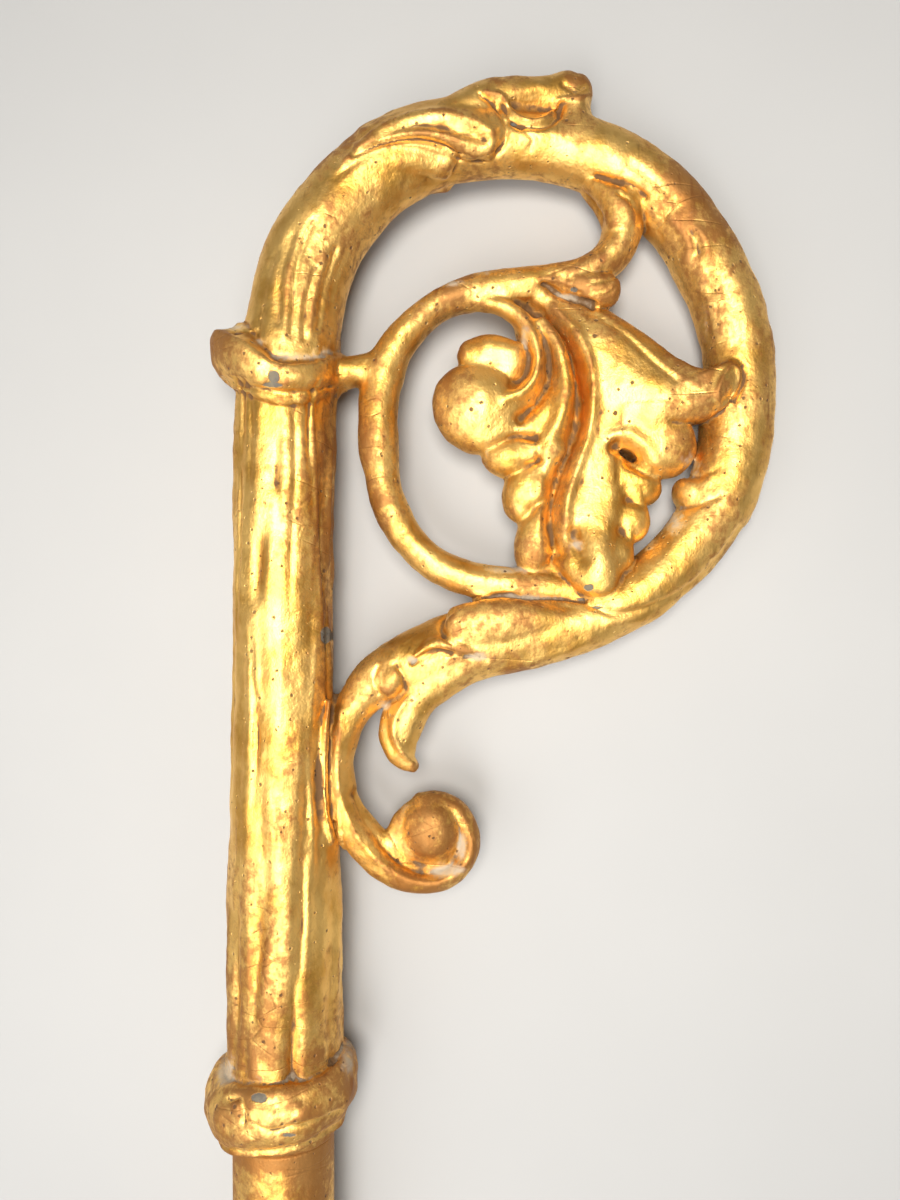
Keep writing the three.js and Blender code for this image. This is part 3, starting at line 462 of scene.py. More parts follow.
def leaf():
    """The acanthus leaf: rings from its heart to an outline of lobes, with a carved face.

    w = middle + side * (half * sqrt(1 - ring^40) + folds * (1 - ring^10)), where half is
    rim + swell * sqrt(1 - ring^4). The hidden side has half of the folds and of the middle.
    """
    starts = [lobe[-1:] for lobe in LEAF_LOBES[-1:] + LEAF_LOBES[:-1]]
    outline = np.vstack([fine(start + lobe, 0.5)[:-1] for start, lobe in zip(starts, LEAF_LOBES)])
    hu, hv = LEAF_HEART
    bearing = np.arctan2(outline[:, 1] - hv, outline[:, 0] - hu)
    reach = np.hypot(outline[:, 0] - hu, outline[:, 1] - hv)
    sides = 900
    angle = circle(sides) - math.pi
    order = np.argsort(bearing)
    far = np.interp(angle, bearing[order], reach[order], period=2 * math.pi)
    rings = np.concatenate([np.linspace(0.02, 0.93, 92), 1 - 0.07 * np.linspace(1, 0, 9)[1:] ** 2])
    layers = []
    for side in (-1, 1):
        ring = (rings if side < 0 else rings[::-1])[:, None]
        u = hu + far * ring * np.cos(angle)
        v = hv + far * ring * np.sin(angle)
        half = LEAF_RIM + LEAF_SWELL * np.sqrt(1 - ring ** 4)
        du, dv = drawn(u, v, leaf_middle(u, v) + half)
        folds = np.zeros_like(u)
        for height, spread, *chain in LEAF_FOLDS:
            folds += height * np.exp(-(distance_to(fine(chain, 1.5), du, dv) / spread) ** 2)
        share = 1.0 if side > 0 else 0.5
        edge = np.sqrt(np.clip(1 - ring ** 40, 0, 1))
        w = leaf_middle(u, v) * share + side * (half * edge + folds * (1 - ring ** 10) * share)
        layers.append(np.stack([u, v, w], axis=-1))
    grid = np.concatenate(layers)
    start = [hu, hv, grid[0, :, 2].mean()]
    stop = [hu, hv, grid[-1, :, 2].mean()]
    return closed(grid, start, stop)


def knop():
    """The knop: a round moulding over a flat lip, a little higher on the crook's side.

    Its profile is radius - bulge + bulge * cos(q)^0.8, middle + half height * sin(q), carried
    round a circle with a tilt, a lean and a slow wander.
    """
    low = KNOP_MIDDLE - KNOP_HEIGHT / 2
    q = np.linspace(-0.44, 0.47, 40) * math.pi
    rise = KNOP_MIDDLE + KNOP_LIP / 2 + (KNOP_HEIGHT - KNOP_LIP) / 2 * np.sin(q)
    swell = KNOP_RADIUS - KNOP_BULGE + KNOP_BULGE * np.cos(q) ** 0.8
    lip = [(-5.4, 0.2), (-3.8, 0.3), (-3.3, 1.2), (-3.6, 2.3), (-4.4, 2.9)]
    profile = np.vstack([np.add(lip, [KNOP_RADIUS, low]), np.stack([swell, rise], axis=1)])
    sides = 160
    angle = -circle(sides)
    radius = np.repeat(profile[:, :1], sides, axis=1)
    height = np.repeat(profile[:, 1:], sides, axis=1)
    wander = 0.5 * np.sin(4 * angle + 1.0) * np.clip((height - low) / 6, 0, 1)
    height = height + KNOP_TILT * radius * np.cos(angle) / KNOP_RADIUS + wander
    radius = radius * (1 + 0.01 * np.sin(3 * angle + 0.6) - KNOP_LEAN * np.cos(angle))
    return closed(around_staff(radius, angle, height),
                  [0, height[0].mean(), 0], [0, height[-1].mean(), 0])


# The collar, by degrees round from the crook's side: the heights of its lip, base and crest from
# the collar's middle, and how proud it is against its front.
COLLAR_ROWS = np.array([
    (0, -9, -7, 3, 0.6), (28, -10.8, -8.6, 0.8, 0.82), (45, -13.4, -10.4, -2.4, 0.9),
    (60, -14.6, -11.8, -4, 0.96), (80, -15.2, -12.3, -4.7, 1), (92, -14.6, -11.8, -3.6, 1.05),
    (100, -14, -11.2, -1.4, 1.14), (112, -12.8, -10.2, 1.3, 1.23), (124, -11.6, -9, 3.8, 1.32),
    (150, -8.8, -7, 7.6, 1.45), (180, -7, -5.6, 9.2, 1.5),
])


def collar():
    """The collar: a leafy band that dips before and behind, with a lobe turned up at one side.

    A section of lip, bulging face, sharp crest and sloping shelf is carried round the shaft.
    """
    sides = 240
    angle = circle(sides)
    degrees = np.degrees(np.minimum(angle, 2 * math.pi - angle))
    lip, base, crest, proud = [np.interp(degrees, COLLAR_ROWS[:, 0], COLLAR_ROWS[:, k])
                               for k in range(1, 5)]
    for _ in range(8):
        lip, base, crest, proud = [(np.roll(x, 1) + 2 * x + np.roll(x, -1)) / 4
                                   for x in (lip, base, crest, proud)]
    proud = proud * COLLAR_PROUD * (1 + 0.03 * np.sin(7 * angle))
    tall = crest - base
    shaft = np.full(sides, SHAFT_HIGH_RADIUS)
    radius = np.stack([shaft - 4, shaft + 0.8, shaft + 1.5, shaft + 1.2, shaft + 0.62 * proud,
                       shaft + 0.9 * proud, shaft + proud, shaft + proud, shaft + 0.88 * proud,
                       shaft + 0.45 * proud, shaft + 0.1, shaft - 1.4, shaft - 4], axis=1)
    height = np.stack([lip, lip, lip + 0.5 * (base - lip), base - 0.1, base + 0.12 * tall,
                       base + 0.34 * tall, base + 0.6 * tall, base + 0.86 * tall, crest,
                       crest + 0.5, crest + 1.6, crest + 3.2, crest + 3.4], axis=1)
    grid = around_staff(radius, angle[:, None], COLLAR_MIDDLE + height)
    return grid.reshape(-1, 3), np.concatenate(ring_faces(*radius.shape)).reshape(-1, 3)


# Fusing the forms on one grid

GRID_LOW = np.array([-27.0, -14.0, -27.0])
GRID_HIGH = np.array([150.0, 312.0, 27.0])
BAND = 5  # half width of the narrow band, in grid steps
# How softly forms melt into each other
CROOK_MELT = 1.0
EYE_MELT = 1.2
STEM_MELT = 1.6
SHARP_MELT = 0.8


def fuse(forms, cuts):
    """Join closed forms: the field is the soft minimum of their signed distances.

    For fields a and b melted over a radius k: h = max(k - |a - b|, 0) / k and the result is
    min(a, b) - h^2 k / 4. A cut then leaves max(field, -cut).
    """
    counts = np.ceil((GRID_HIGH - GRID_LOW) / VOXEL).astype(int)
    space = BAND * VOXEL
    field = np.full(counts, space, np.float32)
    scaling = vdb.createLinearTransform(voxelSize=VOXEL)
    base = np.round(GRID_LOW / VOXEL).astype(int)
    for (points, faces), melt in forms + [(cut, None) for cut in cuts]:
        level = vdb.FloatGrid.createLevelSetFromPolygons(
            points.astype(np.float32), triangles=faces.astype(np.uint32), transform=scaling,
            halfWidth=float(BAND))
        low = np.floor(points.min(0) / VOXEL).astype(int) - BAND - 1
        high = np.ceil(points.max(0) / VOXEL).astype(int) + BAND + 2
        low = np.maximum(low, base)
        high = np.minimum(high, base + counts)
        piece = np.empty(high - low, np.float32)
        level.copyToArray(piece, ijk=tuple(int(i) for i in low))
        window = tuple(slice(a - o, b - o) for a, b, o in zip(low, high, base))
        old = field[window]
        if melt is None:
            field[window] = np.maximum(old, -piece)
        else:
            blend = np.maximum(melt - np.abs(old - piece), 0) / melt
            field[window] = np.minimum(old, piece) - blend * blend * melt / 4
    whole = vdb.FloatGrid(space)
    whole.copyFromArray(field, ijk=tuple(int(i) for i in base))
    whole.transform = scaling
    whole.gridClass = vdb.GridClass.LEVEL_SET
    points, quads = whole.convertToQuads(0.0)
    return points.astype(np.float64), quads.astype(np.int64)


def normals_of(points, faces):
    """Vertex normals: the sum over its faces of the cross product (third - first corner) x
    (last - second corner), at length one."""
    cross = np.cross(points[faces[:, 2]] - points[faces[:, 0]],
                     points[faces[:, -1]] - points[faces[:, 1]])
    total = np.zeros_like(points)
    for corner in range(faces.shape[1]):
        for axis in range(3):
            total[:, axis] += np.bincount(faces[:, corner], cross[:, axis], len(points))
    return total / np.maximum(np.linalg.norm(total, axis=1), 1e-12)[:, None]


def relaxed(points, faces, rounds):
    """Each point moved to the mean of its neighbours, a number of times."""
    one, other = faces.ravel(), np.roll(faces, -1, axis=1).ravel()
    here, there = np.concatenate([one, other]), np.concatenate([other, one])
    many = len(points)
    count = np.bincount(here, minlength=many)
    for _ in range(rounds):
        total = [np.bincount(here, points[there, axis], many) for axis in range(3)]
        points = np.stack(total, axis=1) / count[:, None]
    return points


def waves(points, seed, length, count=14):
    """Smooth unevenness around zero: the sum of sines in seeded directions / sqrt(count)."""
    rng = np.random.default_rng(seed)
    total = np.zeros(len(points))
    for _ in range(count):
        way = rng.normal(size=3)
        way *= 2 * math.pi / (np.linalg.norm(way) * length * rng.uniform(0.7, 1.5))
        total += np.sin(points @ way + rng.uniform(0, 2 * math.pi))
    return total / math.sqrt(count)


# Grooves and ridges cut into the fused head, as the camera sees them: the height, the spread
# and the points of each.
STROKES = [
    # gouge marks up the crook's rise
    (-0.5, 1.2, (-7.6, 229), (-6.4, 241), (-3, 253)),
    (-0.55, 1.1, (2.2, 228), (3, 241), (4.6, 252), (8.4, 262)),
    (-0.6, 1.1, (6, 227), (7, 239), (9.6, 248)),
    (-0.65, 1.1, (10, 230), (12, 242), (15.6, 254)),
    (-0.5, 1.1, (13.6, 231), (15, 243), (18.6, 253)),
    (-0.45, 1.3, (-2, 232), (-0.6, 246), (2.6, 258)),
    (0.4, 1.6, (0.4, 230), (1, 244), (3.6, 256)),
    (0.4, 1.6, (8.2, 230), (9.6, 242), (12.4, 252)),
    # the two long lobes and the pits beside them
    (1, 1.9, (24, 288.4), (34, 292.6), (42, 294.4), (50, 294), (57, 292), (62, 289)),
    (-0.9, 1.5, (29, 287.4), (42, 291), (52, 289.4), (60, 286.6)),
    (0.8, 1.6, (22, 284.6), (30, 287.4), (40, 288.8), (47, 288), (54, 285.4)),
    (-1.2, 0.9, (21, 281.8), (28, 284.8), (35, 286.5), (42, 286.5), (48, 284.5), (52.6, 281.4)),
    (0.7, 1.4, (18, 280.4), (28, 284), (38, 285), (46, 283.4), (51, 280.4)),
    (-0.8, 0.8, (59, 300.4), (62.4, 297.6), (65.8, 293), (66.8, 289), (65.2, 284.2), (62, 281.4),
        (57, 280.4), (53.4, 282)),
    (-0.6, 0.8, (51.6, 280.6), (51.6, 278), (49.6, 276)),
    (-1.2, 1.2, (68, 291.8), (71, 290.6)),
    (-0.5, 1, (73.4, 288.4), (75, 286.6), (73.8, 284)),
    # the scalloped edge of the crocket and the break at its tip
    (0.9, 0.8, (60, 300.8), (65.2, 299.8), (67.4, 296.2), (70, 293.4), (74, 292.2), (78, 292.8),
        (81, 295.2), (82, 298.4), (85, 298.8), (88.6, 298.8), (91.4, 300)),
    (-0.9, 1, (66, 296.4), (69, 292.4), (74, 290.6), (79, 291.2), (82.4, 294)),
    (-0.8, 1, (84, 303.4), (87.6, 301.4), (90.4, 302.4)),
    (-0.7, 2.4, (70, 298), (77, 298.4)),
    # the small leaf at the shoulder
    (-0.8, 0.7, (100.4, 270.8), (103.6, 268.6), (106, 265), (106.4, 261.4)),
    (-0.7, 1, (94, 275.6), (99, 274.4), (104.4, 273), (108.4, 269.6)),
    (-0.5, 0.6, (92.6, 243.8), (96.4, 244.4), (100.2, 245.6)),
    (-0.25, 0.5, (93.4, 239.4), (97.4, 240.2), (99.8, 243)),
    (-0.25, 0.5, (93, 240.8), (96.4, 241.4), (98.4, 243.6)),
    (-0.6, 0.8, (86.6, 242.4), (88.4, 240.6)),
    (-2.2, 1.1, (78.2, 243), (81, 241.4), (84.4, 239.8), (88, 238.4), (92.6, 236.8)),
    (0.7, 0.9, (77, 244.6), (81, 244.6), (85, 243.6), (88, 241.8)),
    # knots and pits of the right limb
    (0.6, 1.6, (116.6, 262.6), (119.4, 259), (121.4, 254.4), (121, 250.6)),
    (0.5, 1.8, (122, 261.4), (125.8, 257.2), (127, 252)),
    (-0.6, 1.3, (122.4, 258.4), (123.8, 256), (124.4, 253)),
    (0.45, 2.2, (124.6, 246), (127.6, 238.6), (129.6, 230)),
    (-0.5, 1.6, (131.4, 246), (134.6, 236), (136, 226)),
    (-0.45, 1.5, (104, 279.6), (112, 273.6), (119, 266.4)),
    (0.4, 2, (130.4, 199), (129.4, 190), (125.6, 182.6)),
    (-0.5, 1.4, (126.5, 243), (128, 241)),
    (0.7, 0.7, (130.6, 206.4), (130.2, 211), (132.2, 216.4), (134.8, 219), (136.6, 217.6),
        (135.8, 212.6), (133.4, 208.6), (130.6, 206.4)),
    (-0.7, 0.8, (137.8, 219), (138, 214), (135.2, 208)),
    (-0.7, 1.1, (118, 176), (124, 177), (131, 180)),
    (-0.5, 1, (121, 185.6), (126, 186), (130, 188)),
    # the crease between the stem and the crook, and the bracket's leaves
    (-1.1, 0.6, (51.4, 147.8), (59.6, 149.4), (66, 150.2), (73, 149.4), (82.8, 149), (90, 148.2)),
    (-0.7, 1, (91.9, 146.7), (98.8, 144.4), (110.3, 146.7), (121.8, 152.8), (130.2, 160.5),
        (137, 170)),
    (0.5, 1.4, (97, 141.2), (110.6, 143.4), (123.6, 150), (133, 158.4), (140, 168)),
    (-0.7, 0.8, (50.6, 145.6), (47.4, 142.6), (47, 139.4), (48.4, 136.8), (51, 135)),
    (-1, 0.9, (54.6, 131.2), (58, 131.2), (60.8, 130.6)),
    (-0.9, 0.9, (38.4, 129.6), (42, 132), (46, 133.2), (50, 132.4)),
    (-0.8, 0.8, (36.4, 122.4), (35.6, 126), (33.8, 129)),
    (-0.6, 0.8, (28, 128.4), (26.6, 124.4), (28, 120.4)),
    (0.5, 1.2, (68, 128), (80, 131.2), (92, 136.6)),
    (0.9, 0.9, (37, 119), (33.8, 113.6), (33, 108.4), (35, 103.6), (38.6, 99.4)),
    (-0.7, 1.1, (30.6, 113), (30.6, 107.6), (32.6, 103)),
    # the scroll: its main ridge, the channel beside it and the inner ridge
    (0.6, 1.1, (17.2, 115), (16.2, 108), (16, 98.7), (16.8, 90), (19, 83.6), (22.4, 77), (27, 71.2),
        (33, 66.6), (39.4, 63.8), (46, 63.6), (51.6, 66.4), (55.4, 71), (56.6, 77)),
    (-1.3, 1.7, (21.6, 90), (24, 84), (27.4, 78.6), (31, 73.6), (35.4, 70), (41, 67.8)),
    (0.8, 0.8, (30.2, 82), (31.4, 77.4), (33.8, 72.8), (37.8, 69), (43, 67.4)),
    # the collar's turned lobe and the crack in the knop's moulding
    (-0.5, 0.8, (-11.5, 231.8), (-9, 228.2), (-5.5, 224.3), (-2.6, 221.8), (0.4, 221.6)),
    (-0.4, 0.7, (-15, 213), (-8.3, 212.1), (0.2, 210.9), (8.7, 211.3), (14.7, 212.3)),
    (0.4, 1.6, (1, 214.4), (6, 215.8), (9, 214.6)),
    (-0.5, 1.2, (-6, 218), (-3.6, 215.4), (-4.6, 212.8)),
    (-1, 1, (-16.6, -1.4), (-13.6, -0.8), (-12.6, -4.6), (-12.2, -8.6)),
    (-0.7, 0.8, (-10, -9), (-4, -11), (3, -9.8), (10, -7.8), (17, -5)),
    (-0.5, 1.2, (-2, -5), (3, -5.4)),
    (0.5, 1.2, (-10, -3.4), (-5, -4.4), (4, -3)),
]


def cut_strokes(points, normals):
    """Offset along the normals: height * exp(-(distance / spread)^2), fading out as the surface
    turns away, and a share of it on the hidden side."""
    facing = normals[:, 2]
    share = np.clip(facing * 2.2 + 0.35, 0, 1)
    share += BACK_STROKES * np.clip(-facing * 2.2 + 0.35, 0, 1)
    u, v = drawn(*points.T)
    offset = np.zeros(len(points))
    for height, spread, *chain in STROKES:
        line = fine(chain)
        low, high = line.min(0) - 3 * spread, line.max(0) + 3 * spread
        near = np.flatnonzero((u > low[0]) & (u < high[0]) & (v > low[1]) & (v < high[1]))
        d = distance_to(line, u[near], v[near])
        offset[near] += height * np.exp(-(d / spread) ** 2) * share[near]
    return offset


def gouges(height, angle, radius, seed, low, high, count, depth):
    """Long shallow tool marks down a shaft.

    Each is depth * exp(-(across / width)^2) * exp(-(along / length)^4), with a slow waver.
    """
    rng = np.random.default_rng(seed)
    offset = np.zeros(len(height))
    for _ in range(count):
        middle, length = rng.uniform(low, high), rng.uniform(9, 38)
        turn, width = rng.uniform(0, 2 * math.pi), rng.uniform(0.9, 2.4)
        deep = depth * rng.uniform(0.3, 1.0) * rng.choice([1, 1, 1, -0.6])
        near = np.flatnonzero(np.abs(height - middle) < 1.6 * length)
        waver = 0.05 * np.sin(height[near] / rng.uniform(7, 15) + rng.uniform(0, 6))
        across = np.angle(np.exp(1j * (angle[near] - turn - waver))) * radius
        offset[near] -= deep * np.exp(-(across / width) ** 2
                                      - ((height[near] - middle) / length) ** 4)
    return offset


def make_mesh(name, points, faces):
    """A mesh object from part-frame points in millimetres, smooth shaded."""
    mesh = bpy.data.meshes.new(name)
    mesh.vertices.add(len(points))
    mesh.vertices.foreach_set("co", (points * MM).astype(np.float32).ravel())
    sides = faces.shape[1]
    mesh.loops.add(faces.size)
    mesh.loops.foreach_set("vertex_index", faces.astype(np.int32).ravel())
    mesh.polygons.add(len(faces))
    mesh.polygons.foreach_set("loop_start", (np.arange(len(faces)) * sides).astype(np.int32))
    mesh.update(calc_edges=True)
    mesh.validate()
    mesh.shade_smooth()
    piece = bpy.data.objects.new(name, mesh)
    bpy.context.scene.collection.objects.link(piece)
    return piece


def read_mesh(mesh):
    """Points and triangles of a mesh, in millimetres."""
    points = np.empty(3 * len(mesh.vertices), np.float32)
    mesh.vertices.foreach_get("co", points)
    mesh.calc_loop_triangles()
    faces = np.empty(3 * len(mesh.loop_triangles), np.int32)
    mesh.loop_triangles.foreach_get("vertices", faces)
    return points.reshape(-1, 3).astype(float) / MM, faces.reshape(-1, 3).astype(np.int64)


def add_value(mesh, name, values):
    """One number for each vertex, for the materials."""
    layer = mesh.attributes.new(name, "FLOAT", "POINT")
    layer.data.foreach_set("value", values.astype(np.float32))


def add_wear_and_shade_values(mesh, points, faces, dust, chip):
    """The values for the finish: dust and chips, and how deep each point lies under the surface
    relaxed around it, in millimetres, a little for its creases and much for wide hollows. The
    depths place the wear and dust, and the painted shade in folds and creases."""
    normals = normals_of(points, faces)
    for name, rounds in (("crevice", CREVICE_ROUNDS), ("hollow", HOLLOW_ROUNDS)):
        depth = ((relaxed(points, faces, rounds) - points) * normals).sum(1)
        add_value(mesh, name, depth)
    add_value(mesh, "dust", dust)
    add_value(mesh, "chip", chip)


# Spots of grey dust and chips down to the grey ground, as the camera sees them: the middle, the
# half sizes and how strong each is.
DUST_SPOTS = [
    (-18, 6.5, 3.4, 5.4, 1.1), (19, 10.6, 2.6, 5, 1.1), (1, 4.6, 15, 1.6, 0.35),
    (66, 157.4, 8, 1.5, 1), (73, 149.6, 12, 0.9, 0.7), (52, 158.8, 9, 1.2, 0.4),
    (50, 243.6, 7, 1.3, 0.9), (60, 246.6, 7, 1.1, 0.8), (39, 237.6, 5, 1.6, 0.6),
    (33.4, 231, 2, 5, 0.5), (72.4, 227.6, 1.6, 4, 1), (62, 227.4, 6, 1.2, 0.5),
    (122, 189, 4, 5, 0.9), (117, 172, 4.6, 5.4, 1.1), (108.6, 165.6, 4.6, 3.4, 1),
    (126.4, 232, 1.6, 8, 0.5), (88, 165, 3.2, 2.2, 0.9), (58.6, 131.6, 3.4, 1.6, 1.2),
    (38, 130.8, 2.4, 1.8, 1.1), (30, 116.4, 2.6, 2, 1), (17.4, 127, 2.4, 2, 1.1),
    (27, 134.6, 7, 1.2, 0.5), (40, 143, 7, 1, 0.5), (51.4, 147.6, 3, 1.4, 0.8),
    (50, 67.2, 6.5, 2.2, 1.2), (53.4, 74.4, 1.5, 5, 1.2), (35.4, 87.6, 3, 3.4, 0.7),
    (32.6, 78, 1.6, 5, 0.5), (17.6, 71.4, 2, 2.4, 0.9), (15.2, 98, 0.9, 18, 0.4),
    (60.6, 191.4, 1.2, 2.4, 0.7), (84.6, 239.6, 3, 0.9, 1), (19.6, 209.6, 2.6, 1.6, 0.9),
    (19.4, 222.6, 2.8, 1.4, 0.9), (16.4, 228, 1.2, 6, 0.6), (4, 221.6, 9, 1.3, 1),
    (-14.6, 230.4, 4.6, 1.4, 1.2), (-7, 226, 3.2, 1.6, 0.8), (11.5, 223.2, 4, 1.2, 0.9),
    (104, 192.6, 3.2, 1.8, 0.5), (118, 182, 1.6, 3, 0.5), (78, 160.6, 1.4, 2.4, 0.5),
]
CHIP_SPOTS = [
    (-7.4, -0.9, 3, 1.9, 1.3), (1.8, -12, 4, 1.4, 0.8), (91.4, 152.2, 1.9, 1.3, 1.2),
    (-3, 215.6, 2.4, 2.6, 1.1), (-3.4, 213, 4.4, 1.1, 1),
    (12.6, 138, 2.2, 3, 1.3), (87, 241.6, 1.6, 1, 1.1), (69, 291.2, 1.8, 0.9, 0.9),
    (89, 148.6, 4, 0.8, 0.9), (121.6, 161.4, 1.6, 1.2, 0.7), (94, 146.2, 3, 0.8, 0.9),
]


def spotted(points, spots):
    """The strongest of several spots at each point: strength * exp(-(across / half size)^2)."""
    u, v = drawn(*points.T)
    most = np.zeros(len(points))
    for middle_u, middle_v, wide, tall, strength in spots:
        away = ((u - middle_u) / wide) ** 2 + ((v - middle_v) / tall) ** 2
        most = np.maximum(most, strength * np.exp(-away))
    return most


def to_head(points):
    """Part frame to head frame, the way back from to_part."""
    c, s = math.cos(ROLL), math.sin(ROLL)
    x, y, z = points.T
    return np.stack([-y * c - z * s, x + HEAD_BASE - JOINT_X, -y * s + z * c], axis=1)


def carve_head():
    """The whole carved head: its forms fused, cut with strokes, thinned and given its values."""
    crook, stem = [[(u, v, 0, a, b) for u, v, a, b in rows] for rows in (CROOK, STEM)]
    forms = [(limb(crook, sides=96, ends=(False, True)), CROOK_MELT)]
    forms += [(ball(middle, half), EYE_MELT) for middle, half in SCROLL_EYE]
    forms.append((limb(stem, sides=56), STEM_MELT))
    forms.append((leaf(), SHARP_MELT))
    forms += [(ball(middle, half), melt) for melt, middle, half in LEAF_PADS]
    forms += [(limb(rows), melt) for melt, rows in LEAF_ROLLS]
    for both, melt, rows in LEAFLETS:
        forms.append((limb(rows), melt))
        if both:
            forms.append((limb(behind(rows)), melt))
    forms.append((knop(), SHARP_MELT))
    forms.append((collar(), SHARP_MELT))
    points, quads = fuse(forms, [limb(LEAF_SLIT)])
    normals = normals_of(points, quads)
    if normals[np.argmax(points[:, 2]), 2] < 0:
        quads = quads[:, ::-1]
        normals = -normals
    offset = cut_strokes(points, normals)
    u, v, w = points.T
    shaft = np.flatnonzero((v > SHAFT_LOW) & (v < SHAFT_HIGH) & (np.hypot(u, w) < SHAFT_REACH))
    offset[shaft] += gouges(v[shaft], np.arctan2(w[shaft], u[shaft]), radius=15.5, seed=7,
                            low=10, high=228, count=210, depth=0.85)
    offset += LONG_STRAY * waves(points, seed=3, length=17)
    offset += SHORT_STRAY * waves(points, seed=5, length=5)
    moulding = np.clip(1.5 - np.abs(v - KNOP_MIDDLE) / 10, 0, 1)
    moulding *= np.hypot(u, w) > KNOP_RADIUS - KNOP_BULGE + 0.1
    offset += KNOP_STRAY * moulding * (waves(points, seed=9, length=9) - 0.9)
    points = points + normals * offset[:, None]
    piece = make_mesh("carved_head", to_part(points), quads)
    thin = piece.modifiers.new("thin", "DECIMATE")
    thin.ratio = HEAD_TRIANGLES / (2 * len(quads))
    thin.use_collapse_triangulate = True
    graph = bpy.context.evaluated_depsgraph_get()
    lean = bpy.data.meshes.new_from_object(piece.evaluated_get(graph))
    old = piece.data
    piece.modifiers.clear()
    piece.data = lean
    bpy.data.meshes.remove(old)
    lean.name = "carved_head"
    points, faces = read_mesh(lean)
    points[:, 2] = np.maximum(points[:, 2], FLOOR)
    lean.vertices.foreach_set("co", (points * MM).astype(np.float32).ravel())
    lean.update()
    lean.shade_smooth()
    carved = to_head(points)
    add_wear_and_shade_values(lean, points, faces, spotted(carved, DUST_SPOTS), spotted(carved, CHIP_SPOTS))
    return piece


def turn_staff():
    """The staff: a tapered pole with tool marks and one turned ring near its foot.

    The ring's radius is the knop's - bulge + bulge * sqrt(1 - across^2)^0.8.
    """
    foot, top = STAFF_BOX[0][0] / MM, STAFF_BOX[1][0] / MM
    ringed, seen = foot + 60, top - 200
    rows = np.concatenate([np.arange(foot, ringed, 0.8), np.arange(ringed, seen, 3.2),
                           np.arange(seen, top, 1.2), [top]])
    sides = 96
    share = (rows - foot) / (top - foot)
    radius = FOOT_RADIUS + (STAFF_RADIUS - FOOT_RADIUS) * share
    ring = np.clip((rows - foot - FOOT_RING_RISE) / FOOT_RING_HEIGHT, 0, 1) * 2 - 1
    swell = KNOP_RADIUS - FOOT_RING_BULGE + FOOT_RING_BULGE * np.sqrt(1 - ring ** 2) ** 0.8
    radius = np.where(np.abs(ring) < 1, np.maximum(radius, swell), radius)
    radius = radius - FOOT_CHAMFER * np.clip(1 - (rows - foot) / FOOT_CHAMFER, 0, 1)
    angle = -circle(sides)
    height = np.repeat(rows[:, None], sides, 1)
    around = np.repeat(angle[None, :], len(rows), 0)
    marks = gouges(height.ravel(), around.ravel(), radius=14.5, seed=11,
                   low=foot, high=top, count=420, depth=0.4)
    over_ring = FOOT_RING_RISE + FOOT_RING_HEIGHT + 5
    tooled = ((rows - foot < FOOT_RING_RISE - 4) | (rows - foot > over_ring)) & (rows < top - 1)
    radius = radius[:, None] + marks.reshape(height.shape) * tooled[:, None] - 0.1
    grid = around_staff(radius, angle, height)
    points, faces = closed(grid, [0, foot, 0], [0, top, 0])
    points = rolled(*points.T)
    points[:, 2] = np.maximum(points[:, 2], FLOOR)
    piece = make_mesh("staff_pole", points, faces)
    clean = np.zeros(len(points))
    add_wear_and_shade_values(piece.data, points, faces, clean, clean)
    return piece


# Materials

def math_node(operation):
    """A method of a shader value that joins it with another by a Math node."""
    return lambda self, other: self.tree.node("ShaderNodeMath", {"operation": operation},
                                              [self, other])


class Wire:
    """A shader value: arithmetic on it adds Math nodes."""

    def __init__(self, tree, socket):
        self.tree = tree
        self.socket = socket

    __add__ = __radd__ = math_node("ADD")
    __sub__ = math_node("SUBTRACT")
    __mul__ = __rmul__ = math_node("MULTIPLY")
    most = math_node("MAXIMUM")

    def __rsub__(self, other):
        return self.tree.node("ShaderNodeMath", {"operation": "SUBTRACT"}, [other, self])

    def clamp(self, low, high):
        """A smooth step of the value from 0 at low to 1 at high."""
        node = {"interpolation_type": "SMOOTHSTEP"}
        return self.tree.node("ShaderNodeMapRange", node, [self, low, high, 0.0, 1.0])


